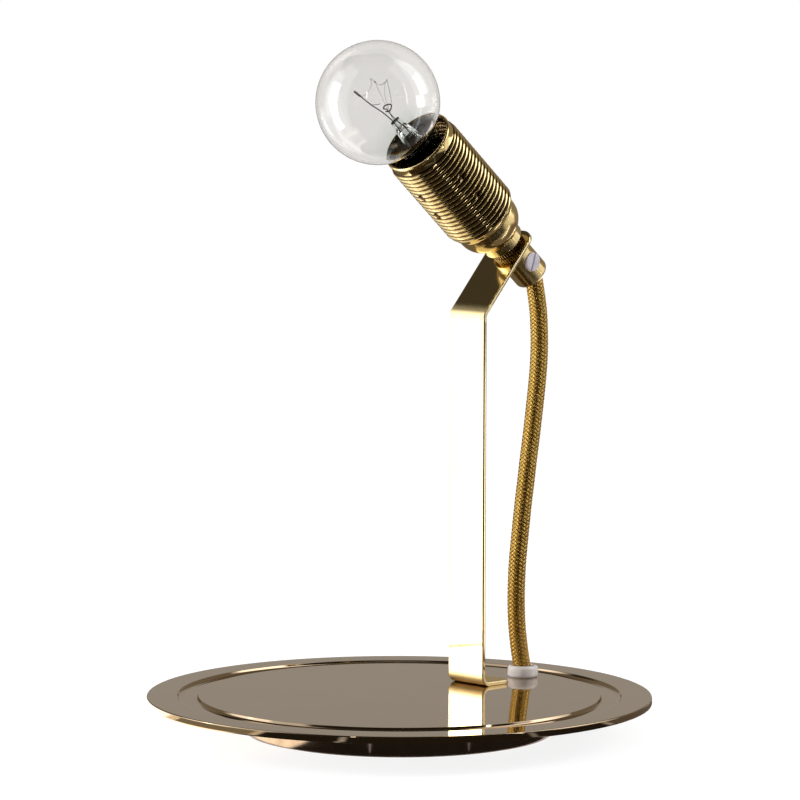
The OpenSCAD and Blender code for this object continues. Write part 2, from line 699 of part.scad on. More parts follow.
// Two brass terminals under the insert, one with the rivet of the screw contact
module holder_terminals()
    color("#d9bd72") on_head() {
        for (s = [-1, 1]) difference() {
            translate([s * terminal_x - 2, -2.5, floor_z - 4.4]) cube([4, 5, 4]);
            translate([s * terminal_x, 0, 0]) bar(core_d / 2 + 0.1, floor_z - 5, floor_z - 1.4);
            translate([s * terminal_x, 0, floor_z - 2.6]) rotate([90, 0, 0])
                cylinder(r = 1.05, h = 4);
        }
        translate([terminal_x, 0, 0]) bar(1.2, floor_z - 0.8, seat_z + 1);
        translate([terminal_x, 0, 0]) bar(1.7, floor_z - 0.8, floor_z);
        translate([terminal_x, 0, 0]) bar(1.6, seat_z + 0.5, seat_z + 1);
    }

module holder_terminal_screws()
    color("#b9b9b4") on_head() for (s = [-1, 1])
        translate([s * terminal_x, 0, floor_z - 2.6]) rotate([90, 0, 0]) {
            cylinder(r = 1, h = 3.3);
            translate([0, 0, 3.2]) cylinder(r = 1.3, h = 1);
        }

module earth_screw()
    color("#c9a24f") on_head() translate([0, -earth_y, 0]) {
        bar(0.95, cap_room_z - 1.4, cap_room_z + 1);
        bar(1.4, cap_room_z + 0.8, cap_room_z + 2.2);
    }

// The three cores from the jacket's upper end to the terminals and the earth screw
module head_cores()
    color("#8a5a33") on_head() {
        z = cord_top + 0.05;
        for (s = [-1, 1])
            sweep([[s * 1.6, 1, z], [s * 1.6, 1, z + 0.6], [s * 2.6, 1, z + 1.6],
                   [s * terminal_x, 0, floor_z - 5.6], [s * terminal_x, 0, floor_z - 3.7]],
                  core_d / 2, 8, [0, 1, 0]);
        sweep([[0, -1.8, z], [0, -1.8, z + 0.4], [0, -2.2, z + 1.3], [0, -earth_y, z + 1.3],
               [0, -earth_y, cap_room_z + 2.25]], core_d / 2 - 0.1, 8, [1, 0, 0]);
    }

module cord()
    color("#a9822b") sweep([for (p = cord_path) [0, p[0], p[1]]], cord_d / 2, 12, [1, 0, 0]);

module bulb_glass()
    color([0.93, 0.95, 0.95, 0.35]) on_head() rotate_extrude() {
        inner = glass_outline(glass_t);
        polygon(concat(glass_outline(0), [for (i = [len(inner) - 1:-1:0]) inner[i]]));
    }

// Neck, curve and globe as one line that ends on the axis
function glass_outline(s) = concat(
    [[bulb_cap_d / 2 - 0.8 - s, skirt_z - 4],
     [bulb_cap_d / 2 - 0.8 - s, skirt_z + 0.6],
     [neck_r - s, skirt_top - 0.6]],
    [for (i = [0:6]) let (a = i * join_angle / 6)
        [curve_x - (neck_curve_r + s) * cos(a), curve_z + (neck_curve_r + s) * sin(a)]],
    [for (i = [1:24]) let (a = -join_angle + i * (90 + join_angle) / 24)
        [(globe_r - s) * cos(a), globe_z + (globe_r - s) * sin(a)]]);

// Turns the inside of the bulb to the way it is screwed in
module in_bulb()
    on_head() rotate([0, 0, bulb_turn]) children();

// Glass flare, tube and pinch that carry the wires
module bulb_stem()
    color([0.9, 0.93, 0.93, 0.5]) in_bulb() {
        rotate_extrude() polygon([for (p = stem_side) [p[0] * neck_r, skirt_top + p[1] * stem_h]]);
        translate([0, 0, skirt_top + 0.75 * stem_h]) difference() {
            translate([-0.32 * neck_r, -0.11 * neck_r, 0])
                cube([0.64 * neck_r, 0.22 * neck_r, 0.25 * stem_h]);
            for (x = [-1, 1] * lead_x) translate([x, 0, 0]) bar(lead_d / 2 + fit, -1, stem_h);
        }
    }

// Half section of the stem: shares of the neck's radius and of the stem's height
stem_side = [[0.75, -0.18], [0.7, 0], [0.58, 0.28], [0.44, 0.46], [0.36, 0.65], [0.31, 0.75],
             [0.31, 0.77], [0.22, 0.77], [0.28, 0.65], [0.37, 0.45], [0.51, 0.27], [0.63, -0.02],
             [0.68, -0.18]];

// Ends of the two lead wires and tops of the two supports
lead_top = [[-5.3, 1, globe_z + 9.6], [6.2, -1.5, globe_z + 4.4]];
support_top = [[1.8, 2.5, globe_z + 9.2], [3.1, -1, globe_z + 5]];

module bulb_leads()
    color("#8f8c86") in_bulb() {
        sweep([[-lead_x, 0, low_z], [-lead_x, 0, stem_top + 0.4], [-3.9, 0.6, globe_z + 1.2],
               lead_top[0]], lead_d / 2, 8, [0, 1, 0]);
        sweep([[lead_x, 0, low_z], [lead_x, 0, stem_top + 0.4], [3.2, -0.6, globe_z - 2.1],
               lead_top[1]], lead_d / 2, 8, [0, 1, 0]);
    }

module bulb_supports()
    color("#9a968e") in_bulb() for (p = support_top)
        sweep([[0, 0, stem_top], [0, 0, stem_top + 2], p - [0, 0, 0.4]], 0.15, 8, [0, 1, 0]);

module bulb_filament()
    color("#6f6a63") in_bulb()
        sweep([lead_top[0] + [0, 0, 0.25], support_top[0], support_top[1],
               [4.9, -2.4, globe_z + 4.3], lead_top[1] + [0.15, -0.05, 0.35]],
              filament_d / 2, 8, [0, 1, 0]);

// Threaded cap with a flared skirt round the glass neck
module bulb_cap()
    color("#c9c7c0") on_head() rotate_extrude() {
        r = bulb_cap_d / 2;
        turns = floor(bulb_cap_l / 2.8);
        polygon(concat(
            [[r - 0.9, cap_low]],
            [for (i = [0:turns * 4]) [r - 0.3 - 0.3 * cos(i * 90), cap_low + 0.4 + i * 0.7]],
            [[r - 0.3, skirt_z], [skirt_d / 2, skirt_top - 1.2], [skirt_d / 2, skirt_top],
             [skirt_d / 2 - 0.35, skirt_top], [skirt_d / 2 - 0.35, skirt_top - 1.2],
             [r - 0.75, skirt_z], [r - 0.75, cap_low + 0.4]]));
    }

module bulb_insulator()
    color("#1d1c1b") on_head() difference() {
        rotate_extrude() polygon([[0, tip_z + 0.9], [2.4, tip_z + 0.9], [3.4, tip_z + 1.2],
            [bulb_cap_d / 2 - 1, cap_low - 0.02], [bulb_cap_d / 2 - 1, cap_low + 1.6], [0, cap_low + 1.6]]);
        rotate([0, 0, bulb_turn]) for (x = [-1, 1] * lead_x)
            translate([x, 0, 0]) bar(lead_d / 2 + fit, low_z - 0.2, globe_z);
    }

module bulb_tip()
    color("#b9b7ae") on_head() intersection() {
        bar(2.4, tip_z, tip_z + 0.9);
        translate([0, 0, tip_z + 4]) sphere(r = 4);
    }

base_plate();
foot_shell();
foot_cover();
felt_pad();
ballast_plate();
plate_screws();
post_screws();
cover_screws();
strip_post();
cord_bush();
bush_nut();
mains_gland();
terminal_block();
terminal_sleeves();
terminal_screws();
foot_cores();
nipple();
ring_nut();
cord_grip();
grip_screw();
holder_cap();
holder_shell();
holder_insert();
screw_contact();
centre_contact();
holder_terminals();
holder_terminal_screws();
earth_screw();
head_cores();
cord();
bulb_glass();
bulb_stem();
bulb_leads();
bulb_supports();
bulb_filament();
bulb_cap();
bulb_insulator();
bulb_tip();
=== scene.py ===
"""Looks of the bare-bulb table lamp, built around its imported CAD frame.

Shapes are written in millimetres, as in the CAD source, and add_piece turns them into metres.
The head's pieces are written on the holder's axis: +Z runs out of the post's tab to the bulb.
"""
import json
import math

import bmesh
import bpy
from mathutils import Matrix, Vector


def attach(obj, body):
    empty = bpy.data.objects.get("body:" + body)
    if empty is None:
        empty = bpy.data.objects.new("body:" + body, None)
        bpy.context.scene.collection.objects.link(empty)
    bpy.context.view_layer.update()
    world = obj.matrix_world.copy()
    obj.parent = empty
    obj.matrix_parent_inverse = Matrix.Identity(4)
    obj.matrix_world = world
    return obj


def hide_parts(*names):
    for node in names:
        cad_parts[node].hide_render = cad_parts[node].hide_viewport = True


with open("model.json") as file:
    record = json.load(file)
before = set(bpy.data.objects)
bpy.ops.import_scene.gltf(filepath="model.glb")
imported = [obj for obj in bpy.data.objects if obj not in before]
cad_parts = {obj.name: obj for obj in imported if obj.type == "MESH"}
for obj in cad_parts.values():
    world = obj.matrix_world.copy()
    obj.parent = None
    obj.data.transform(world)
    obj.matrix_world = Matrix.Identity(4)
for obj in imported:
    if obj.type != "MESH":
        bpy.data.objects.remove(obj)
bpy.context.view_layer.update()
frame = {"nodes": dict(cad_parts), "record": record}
nodes = frame["nodes"]

MM = 0.001

# Places and sizes that repeat the CAD source
FOOT_TOP = 11.2
PLATE_TOP = 13.7
PLATE_R = 90.0
GROOVE_OUT = 79.2
GROOVE_IN = 71.6
GROOVE_DEEP = 1.1
POST_Y = 32.5
POST_TOP = 148.3
POST_W = 18.0
POST_T = 1.5
BEND_R = 3.5
FOOT_TAB = 13.8
HOLE_UP = 30.7
TAB_END = 7.4
BUSH_Y = 61.5
BUSH_UP = 4.2
BUSH_BORE = 3.45
CORD_D = 6.2
TILT = math.radians(49)
HOLE = Vector((0, POST_Y + HOLE_UP * math.cos(TILT), POST_TOP + HOLE_UP * math.sin(TILT)))
AXIS = Vector((0, -math.sin(TILT), math.cos(TILT)))
HEAD = Matrix.Translation(HOLE * MM) @ Matrix.Rotation(TILT, 4, "X")
NIPPLE_BORE = 5.05
GRIP_R = 6.55
GRIP_LOW = -17.0
GRIP_SCREW_Z = -8.5
SCREW_HEAD_R = 3.4
SCREW_TOP = 7.05
SLOT_ANGLE = math.radians(23)
NUT_R = 6.5
NUT_TEETH = 40
TOOTH_DEPTH = 0.6
CAP_Z = 3.0
CAP_R = 12.0
CAP_NECK_R = 7.9
SHOULDER_R = 8.5
SHOULDER_X = CAP_R - SHOULDER_R
SHOULDER_Z = 13.77
RIM_Z = 16.17
THREAD_LOW = 18.17
THREAD_TOP = 56.17
MOUTH_Z = 59.27
THREAD_R = 14.0
THREAD_PITCH = 2.0
LIP_R = 12.95
PUNCH_ANGLES = (-92, -13, 78, 167)
PUNCH_HEIGHTS = (33.7, 44.0)
SHELL_WALL = 0.85
GLOBE_Z = 82.27
GLOBE_R = 21.9
NECK_R = 8.1
CURVE_R = 14.0
CURVE_X = NECK_R + CURVE_R
CURVE_Z = GLOBE_Z - math.sqrt((GLOBE_R + CURVE_R) ** 2 - CURVE_X**2)
SKIRT_TOP = CURVE_Z - 1
SKIRT_Z = SKIRT_TOP - 6
BULB_CAP_LOW = SKIRT_Z - 14.5
STEM_TOP = GLOBE_Z - 10
GLASS_WALL = 0.7
BULB_LEAN = math.radians(2)
# The bulb leans a little in its holder, about a point inside its cap
LEAN_POINT = Matrix.Translation((0, 0, 39 * MM))
LEAN = LEAN_POINT @ Matrix.Rotation(BULB_LEAN, 4, (0.88, -0.47, 0)) @ LEAN_POINT.inverted()
BULB = HEAD @ LEAN
BULB_INSIDE = BULB @ Matrix.Rotation(math.radians(63), 4, "Z")


# Objects and the camera

def new_mesh(name, vertices, faces):
    mesh = bpy.data.meshes.new(name)
    mesh.from_pydata(vertices, [], faces)
    return mesh


def new_object(name, data):
    made = bpy.data.objects.new(name, data)
    bpy.context.scene.collection.objects.link(made)
    return made


def add_camera():
    """The photograph's viewpoint: a long lens, a little above the plate."""
    azimuth, pitch, roll = math.radians(47.155), math.radians(5.522), math.radians(0.13)
    level = Vector((-math.sin(azimuth), math.cos(azimuth), 0))
    look = math.cos(pitch) * level - math.sin(pitch) * Vector((0, 0, 1))
    right = Vector((math.cos(azimuth), math.sin(azimuth), 0))
    up = right.cross(look)
    turned_right = math.cos(roll) * right + math.sin(roll) * up
    turned_up = -math.sin(roll) * right + math.cos(roll) * up
    camera = new_object("camera", bpy.data.cameras.new("camera"))
    camera.matrix_world = Matrix.Translation((1.17877, -1.09329, 0.27447)) @ Matrix(
        (turned_right, turned_up, -look)).transposed().to_4x4()
    camera.data.sensor_width = 36
    camera.data.lens = 205.15
    camera.data.clip_end = 50
    bpy.context.scene.camera = camera


# Materials

class Surface:
    """A Principled material with short ways to add texture nodes to it."""

    def __init__(self, name, **values):
        self.material = bpy.data.materials.new(name)
        self.material.use_nodes = True
        self.tree = self.material.node_tree
        self.shader = self.tree.nodes["Principled BSDF"]
        for key, value in values.items():
            self.shader.inputs[key.replace("_", " ")].default_value = value

    def node(self, kind, inputs=None, **settings):
        made = self.tree.nodes.new(kind)
        for key, value in settings.items():
            setattr(made, key, value)
        for key, value in (inputs or {}).items():
            if isinstance(value, bpy.types.NodeSocket):
                self.tree.links.new(value, made.inputs[key])
            else:
                made.inputs[key].default_value = value
        return made

    def place(self, scale=(1, 1, 1), turn=(0, 0, 0), source="Object"):
        """Object coordinates, stretched by scale."""
        coordinates = self.node("ShaderNodeTexCoord").outputs[source]
        settings = {"Vector": coordinates, "Scale": scale, "Rotation": turn}
        return self.node("ShaderNodeMapping", settings).outputs[0]

    def part(self, vector, index):
        """One coordinate of a vector."""
        return self.node("ShaderNodeSeparateXYZ", {0: vector}).outputs[index]

    def height(self, index=2):
        """The object's own Z in metres, or another of its coordinates."""
        return self.part(self.node("ShaderNodeTexCoord").outputs["Object"], index)

    def mark(self, name):
        """A value that the mesh stores in a UV layer of this name."""
        return self.part(self.node("ShaderNodeUVMap", uv_map=name).outputs[0], 0)

    def noise(self, scale, detail, roughness, at=None):
        return self.node("ShaderNodeTexNoise", {
            "Vector": at or self.place(), "Scale": scale, "Detail": detail, "Roughness": roughness}).outputs[0]

    def ramp(self, value, stops):
        made = self.node("ShaderNodeValToRGB", {"Fac": value})
        points = made.color_ramp.elements
        while len(points) < len(stops):
            points.new(0.5)
        for point, (position, colour) in zip(points, stops):
            point.position = position
            point.color = (*colour, 1)
        return made.outputs[0]

    def range(self, value, low, high, start=0.0, end=1.0):
        return self.node("ShaderNodeMapRange", {
            "Value": value, "From Min": start, "From Max": end, "To Min": low, "To Max": high}).outputs[0]

    def mix(self, share, a, b):
        made = self.node("ShaderNodeMix", data_type="RGBA")
        for index, value in ((0, share), (6, a), (7, b)):
            if isinstance(value, bpy.types.NodeSocket):
                self.tree.links.new(value, made.inputs[index])
            else:
                made.inputs[index].default_value = (*value, 1) if isinstance(value, tuple) else value
        return made.outputs[2]

    def bump(self, height, strength, distance):
        settings = {"Height": height, "Strength": strength, "Distance": distance}
        return self.node("ShaderNodeBump", settings).outputs[0]

    def math(self, operation, a, b=0.0):
        return self.node("ShaderNodeMath", {0: a, 1: b}, operation=operation).outputs[0]

    def set(self, key, value):
        self.tree.links.new(value, self.shader.inputs[key])

    def show(self, shader):
        """Shows a shader in place of the Principled one."""
        self.tree.nodes.remove(self.shader)
        self.tree.links.new(shader, self.tree.nodes["Material Output"].inputs["Surface"])


def polished_brass(name, light, dark, rough_low, rough_high, brush, bump, bends=()):
    """Mirror brass with a cloudy tone and brushed roughness. It shines less at bends, given as heights."""
    s = Surface(name, Metallic=1.0)
    cloud = s.noise(35, 4, 0.6)
    streaks = s.noise(60, 5, 0.7, s.place(brush))
    share = s.math("ADD", s.range(cloud, 0, 0.5, 0.35, 0.7), s.range(streaks, 0, 0.5, 0.35, 0.7))
    s.set("Base Color", s.mix(share, light, dark))
    rough = s.range(streaks, rough_low, rough_high, 0.3, 0.75)
    for bend in bends:
        away = s.math("ABSOLUTE", s.math("SUBTRACT", s.height(), bend * MM))
        rough = s.math("MAXIMUM", rough, s.range(away, 0.42, 0.0, 0.0007, 0.0042))
    s.set("Roughness", rough)
    s.set("Normal", s.bump(streaks, bump, 0.00002))
    return s.material


def holder_brass(name, light, dark, rough_low, rough_high, valleys=False):
    """Thin rolled brass with a lacquered sheen and darker spots. With valleys set, the valleys of its thread
    or teeth are darkened as painted shade.
    """
    s = Surface(name, Metallic=1.0)
    cloud = s.noise(140, 5, 0.65)
    spots = s.ramp(s.noise(900, 3, 0.6), [(0.62, (0, 0, 0)), (0.72, (1, 1, 1))])
    tone = s.mix(s.range(cloud, 0, 1, 0.3, 0.7), light, dark)
    tone = s.mix(spots, tone, tuple(0.72 * c for c in dark))
    if valleys:
        # Painted shade: the deeper a point lies in a valley, the nearer its colour comes to the dark brown
        # below.
        tone = s.mix(s.range(s.mark("rise"), 0, 1, 0.3, 0.8), (0.07, 0.036, 0.014), tone)
    s.set("Base Color", tone)
    s.set("Roughness", s.range(cloud, rough_low, rough_high, 0.3, 0.7))
    s.set("Normal", s.bump(s.noise(700, 3, 0.6), 0.06, 0.00003))
    return s.material


def nylon(name, colour, tint, subsurface, rough):
    """Milky plastic that lets a little light through."""
    s = Surface(name, IOR=1.53, Subsurface_Weight=subsurface, Subsurface_Scale=0.002)
    s.shader.inputs["Subsurface Radius"].default_value = (1.0, 0.85, 0.75)
    cloud = s.noise(220, 3, 0.5)
    s.set("Base Color", s.mix(s.range(cloud, 0, 1, 0.3, 0.7), colour, tint))
    s.set("Roughness", s.range(cloud, rough - 0.06, rough + 0.1))
    s.set("Normal", s.bump(s.noise(900, 2, 0.5), 0.12, 0.00004))
    return s.material


def plain(name, colour, dark, rough, metallic=0.0, grain=500, bump=0.1):
    """A moulded, plated or fabric surface: a grained tone with a soft sheen."""
    s = Surface(name, Metallic=metallic)
    grains = s.noise(grain, 4, 0.6)
    s.set("Base Color", s.mix(s.range(grains, 0, 1, 0.3, 0.7), colour, dark))
    s.set("Roughness", s.range(grains, rough * 0.85, min(1.0, rough * 1.15)))
    s.set("Normal", s.bump(grains, bump, 0.0001))
    return s.material


def clear_glass(name, tint, edge, low_tint, low):
    """Clear glass, darker where it is seen edge on, with another tint low on the holder's axis."""
    s = Surface(name, IOR=1.47, Roughness=0.0)
    s.shader.inputs["Transmission Weight"].default_value = 1.0
    waves = s.noise(18, 2, 0.5)
    colour = s.mix(waves, tint, tuple(min(1.0, c * 1.02) for c in tint))
    along = s.math("ADD", s.math("MULTIPLY", s.height(1), AXIS.y), s.math("MULTIPLY", s.height(2), AXIS.z))
    start, end = (HOLE.dot(AXIS) * MM + z * MM for z in low)
    colour = s.mix(s.range(along, 0, 1, start, end), low_tint, colour)
    facing = s.node("ShaderNodeLayerWeight", {"Blend": 0.5}).outputs["Facing"]
    s.set("Base Color", s.mix(s.range(facing, 0, 1, 0.86, 1.0), colour, edge))
    s.set("Normal", s.bump(waves, 0.15, 0.0004))
    return s.material


def braid_thread(name):
    """Shiny thread, with fibres along each strand, and painted shade where it dips and at its edges."""
    s = Surface(name, Metallic=0.95, IOR=1.5)
    # Painted shade: darker at each strand's edges and where it dips under the strands of the other hand.
    edge = s.math("ABSOLUTE", s.math("SUBTRACT", s.mark("strand"), 0.5))
    shade = s.math("MULTIPLY", s.range(edge, 1.0, 0.12, 0.2, 0.5),
                   s.range(s.mark("lift"), 0.15, 1.0, 0.25, 0.8))
    fibre = s.node("ShaderNodeTexWave", {
        "Vector": s.place((5, 1, 1), source="UV"), "Scale": 1.0, "Distortion": 0.6,
        "Detail": 2}, wave_type="BANDS", bands_direction="X").outputs[1]
    cloud = s.noise(300, 3, 0.6)
    tone = s.mix(cloud, (0.88, 0.54, 0.10), (1.0, 0.68, 0.20))
    threads = s.mix(s.range(fibre, 0.0, 0.35), tone, (0.35, 0.17, 0.02))
    s.set("Base Color", s.mix(shade, (0.075, 0.032, 0.004), threads))
    s.set("Roughness", s.range(fibre, 0.15, 0.24))
    s.set("Normal", s.bump(fibre, 0.4, 0.00006))
    return s.material


MAT = {
    "brass_mirror": polished_brass("plate_brass", (0.49, 0.378, 0.26), (0.44, 0.333, 0.22),
                                   0.035, 0.075, (1, 14, 1), 0.05),
    "post_brass": polished_brass("post_brass", (0.90, 0.75, 0.43), (0.86, 0.69, 0.36),
                                 0.05, 0.10, (20, 20, 1), 0.06, (POST_TOP, PLATE_TOP + 1.8)),
    "brass_holder": holder_brass("rolled_brass", (0.88, 0.71, 0.37), (0.78, 0.58, 0.25), 0.13, 0.22),
    "brass_thread": holder_brass("threaded_brass", (0.88, 0.71, 0.37), (0.78, 0.58, 0.25), 0.08, 0.15, True),
    # Darker than the holder's brass: painted shade for the nut's place between the tab and the cap's neck; its
    # teeth's valleys get painted shade as well.
    "brass_nut": holder_brass("knurled_brass", (0.42, 0.32, 0.17), (0.32, 0.23, 0.11), 0.08, 0.15, True),
    # Raw brass inside the shell, rough as it is, with its colour darkened as painted shade for the inside of
    # the holder.
    "brass_inside": plain("raw_brass_painted_shade", (0.26, 0.17, 0.08), (0.15, 0.095, 0.045), 0.45, 1.0, 400, 0.1),
    "brass_inner": plain("turned_brass", (0.82, 0.66, 0.36), (0.70, 0.54, 0.27), 0.3, 1.0, 400, 0.05),
    # The foot's metal: pinker than the other brass as its own tone, and darker as painted shade for its place
    # under the plate.
    "bronze_foot": plain("bronze_foot", (0.44, 0.34, 0.28), (0.34, 0.26, 0.21), 0.12, 1.0, 260, 0.03),
    "steel": plain("plated_steel", (0.66, 0.66, 0.65), (0.50, 0.50, 0.50), 0.35, 1.0, 500, 0.06),
    "felt": plain("felt", (0.060, 0.056, 0.052), (0.018, 0.017, 0.016), 0.95, 0.0, 900, 0.8),
    "nylon_clear": nylon("milky_nylon", (0.96, 0.90, 0.89), (0.90, 0.82, 0.81), 0.5, 0.22),
    "nylon_screw": nylon("screw_nylon", (0.62, 0.58, 0.64), (0.70, 0.66, 0.72), 0.15, 0.4),
    "thermoplastic": plain("moulded_black", (0.045, 0.045, 0.042), (0.03, 0.03, 0.028), 0.5, 0.0, 300, 0.1),
    "insulation": plain("core_insulation", (0.30, 0.16, 0.08), (0.22, 0.11, 0.05), 0.45, 0.0, 300, 0.05),
    "braid": braid_thread("gold_braid"),
    "braid_core": plain("braid_shadow", (0.10, 0.055, 0.01), (0.05, 0.025, 0.005), 0.9, 0.0, 2000, 0.3),
    "glass": clear_glass("globe_glass", (0.89, 0.88, 0.865), (0.6, 0.6, 0.59), (0.55, 0.62, 0.57), (56, 66)),
    "stem": clear_glass("stem_glass", (0.86, 0.88, 0.86), (0.3, 0.3, 0.3), (0.10, 0.26, 0.18), (54, 66)),
    "wire": plain("lead_wire", (0.26, 0.25, 0.24), (0.12, 0.115, 0.11), 0.35, 1.0, 900, 0.1),
    "tungsten": plain("tungsten", (0.50, 0.48, 0.46), (0.34, 0.33, 0.32), 0.4, 1.0, 900, 0.1),
    "cap_metal": plain("cap_metal", (0.62, 0.60, 0.56), (0.46, 0.44, 0.41), 0.32, 1.0, 300, 0.06),
    "cement": plain("dark_cement", (0.055, 0.042, 0.03), (0.03, 0.024, 0.018), 0.5, 0.0, 400, 0.3),
    "black_glass": plain("black_glass", (0.02, 0.02, 0.02), (0.035, 0.035, 0.035), 0.12, 0.0, 300, 0.03),
}


# Mesh tools

def add_piece(name, shape, slot, replaces=(), place=Matrix(), material=None, body="lamp", sharp=35):
    """Makes a mesh object of (vertices in millimetres, faces), and hangs it on its CAD body."""
    vertices, faces = shape
    mesh = new_mesh(name, [place @ (Vector(v) * MM) for v in vertices], faces)
    work = bmesh.new()
    work.from_mesh(mesh)
    bmesh.ops.remove_doubles(work, verts=work.verts, dist=1e-7)
    bmesh.ops.recalc_face_normals(work, faces=work.faces)
    work.to_mesh(mesh)
    work.free()
    mesh.shade_smooth()
    mesh.set_sharp_from_angle(angle=math.radians(sharp))
    mesh.materials.append(material or MAT[slot])
    piece = new_object(name, mesh)
    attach(piece, body)
    if replaces:
        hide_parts(*replaces)
    return piece


def turn(profile, steps=160, closed=True):
    """Turns a profile of (radius, height) about Z. A profile that changes with the angle is a function."""
    at = profile if callable(profile) else lambda angle: profile
    vertices, faces, poles = [], [], {}
    columns = []
    for k in range(steps):
        column = []
        for i, (radius, height) in enumerate(at(2 * math.pi * k / steps)):
            if radius < 1e-6:
                if i not in poles:
                    poles[i] = len(vertices)
                    vertices.append((0, 0, height))
                column.append(poles[i])
            else:
                column.append(len(vertices))
                a = 2 * math.pi * k / steps
                vertices.append((radius * math.cos(a), radius * math.sin(a), height))
        columns.append(column)
    count = len(columns[0])
    for k in range(steps):
        a, b = columns[k], columns[(k + 1) % steps]
        for i in range(count if closed else count - 1):
            j = (i + 1) % count
            face = []
            for v in (a[i], b[i], b[j], a[j]):
                if v not in face:
                    face.append(v)
            if len(face) > 2:
                faces.append(face)
    return vertices, faces


def soften(points, steps=5, closed=True):
    """Rounds a profile's corners. A corner is (radius, height) or (radius, height, rounding)."""
    made = []
    count = len(points)
    for i, point in enumerate(points):
        here = Vector(point[:2])
        if len(point) < 3 or (not closed and i in (0, count - 1)):
            made.append(tuple(here))
            continue
        before, after = Vector(points[i - 1][:2]), Vector(points[(i + 1) % count][:2])
        start = here + (before - here).normalized() * point[2]
        end = here + (after - here).normalized() * point[2]
        for k in range(steps + 1):
            t = k / steps
            made.append(tuple((1 - t) ** 2 * start + 2 * t * (1 - t) * here + t * t * end))
    return made


def smooth_path(points, per_span=6):
    """Catmull-Rom curve through points."""
    p = [Vector(q) for q in points]
    p = [2 * p[0] - p[1], *p, 2 * p[-1] - p[-2]]
    made = []
    for i in range(1, len(p) - 2):
        for k in range(per_span):
            t = k / per_span
            a, b, c, d = p[i - 1], p[i], p[i + 1], p[i + 2]
            made.append(0.5 * (2 * b + (c - a) * t + (2 * a - 5 * b + 4 * c - d) * t * t
                               + (3 * b - a - 3 * c + d) * t**3))
    made.append(p[-2])
    return made


def frames_along(path):
    """Point, direction and two cross directions at each point of a path, without twist."""
    made = []
    side = None
    for i, point in enumerate(path):
        ahead = (path[min(i + 1, len(path) - 1)] - path[max(i - 1, 0)]).normalized()
        if side is None:
            side = ahead.orthogonal().normalized()
        side = (side - side.dot(ahead) * ahead).normalized()
        made.append((point, ahead, side, ahead.cross(side)))
    return made


def tube(path, radius, sides=10):
    """Round tube along a path, closed at both ends. The radius may be a function of the share of the way."""
    at = radius if callable(radius) else lambda share: radius
    vertices, faces = [], []
    rows = frames_along([Vector(p) for p in path])
    for i, (point, _, side, other) in enumerate(rows):
        r = at(i / (len(rows) - 1))
        for k in range(sides):
            a = 2 * math.pi * k / sides
            vertices.append(point + r * (math.cos(a) * side + math.sin(a) * other))
    for i in range(len(rows) - 1):
        for k in range(sides):
            a, b = i * sides + k, i * sides + (k + 1) % sides
            faces.append((a, b, b + sides, a + sides))
    faces.append(tuple(range(sides - 1, -1, -1)))
    faces.append(tuple(range(len(vertices) - sides, len(vertices))))
    return vertices, faces


def join(*shapes):
    vertices, faces = [], []
    for shape in shapes:
        start = len(vertices)
        vertices += list(shape[0])
        faces += [tuple(start + v for v in face) for face in shape[1]]
    return vertices, faces


def block(low, high):
    x, y, z = zip(low, high)
    vertices = [(x[i], y[j], z[k]) for i in (0, 1) for j in (0, 1) for k in (0, 1)]
    faces = [(0, 1, 3, 2), (4, 6, 7, 5), (0, 4, 5, 1), (2, 3, 7, 6), (0, 2, 6, 4), (1, 5, 7, 3)]
    return vertices, faces


def cut(piece, shape, place=Matrix()):
    """Takes a shape out of a piece."""
    cutter = new_object("cutter", new_mesh("cutter", [place @ (Vector(v) * MM) for v in shape[0]], shape[1]))
    modifier = piece.modifiers.new("cut", "BOOLEAN")
    modifier.operation = "DIFFERENCE"
    modifier.solver = "EXACT"
    modifier.object = cutter
    apply_modifiers(piece)
    bpy.data.objects.remove(cutter)


def apply_modifiers(piece):
    bpy.context.view_layer.update()
    evaluated = piece.evaluated_get(bpy.context.evaluated_depsgraph_get())
    made = bpy.data.meshes.new_from_object(evaluated)
    piece.modifiers.clear()
    piece.data = made


def bevel(piece, width, segments):
    modifier = piece.modifiers.new("bevel", "BEVEL")
    modifier.width = width * MM
    modifier.segments = segments
    modifier.limit_method = "ANGLE"
    modifier.angle_limit = math.radians(40)
    modifier.harden_normals = False
    apply_modifiers(piece)
    piece.data.shade_smooth()
    piece.data.set_sharp_from_angle(angle=math.radians(50))


def true_flats(piece):
    """Keeps a flat or straight face's shading true beside its rounded corners."""
    modifier = piece.modifiers.new("flats", "WEIGHTED_NORMAL")
    modifier.keep_sharp = True


def mark_rise(piece, place, rise):
    """Stores how far each corner stands out of the valleys of its thread or teeth, for the material."""
    back = place.inverted()
    layer = piece.data.uv_layers.new(name="rise")
    for loop in piece.data.loops:
        point = (back @ piece.data.vertices[loop.vertex_index].co) / MM
        layer.data[loop.index].uv = (rise(point), 0)


def inner_faces(piece, place, material):
    """Gives another material to the faces that look at the axis."""
    piece.data.materials.append(material)
    back = place.inverted()
    for polygon in piece.data.polygons:
        if (back @ polygon.center).xy.dot((back.to_3x3() @ polygon.normal).xy) < 0:
            polygon.material_index = 1


# The cord, along the CAD route: inside the head, hanging, and through the bush

SAMPLES_PER_CROSSING = 5


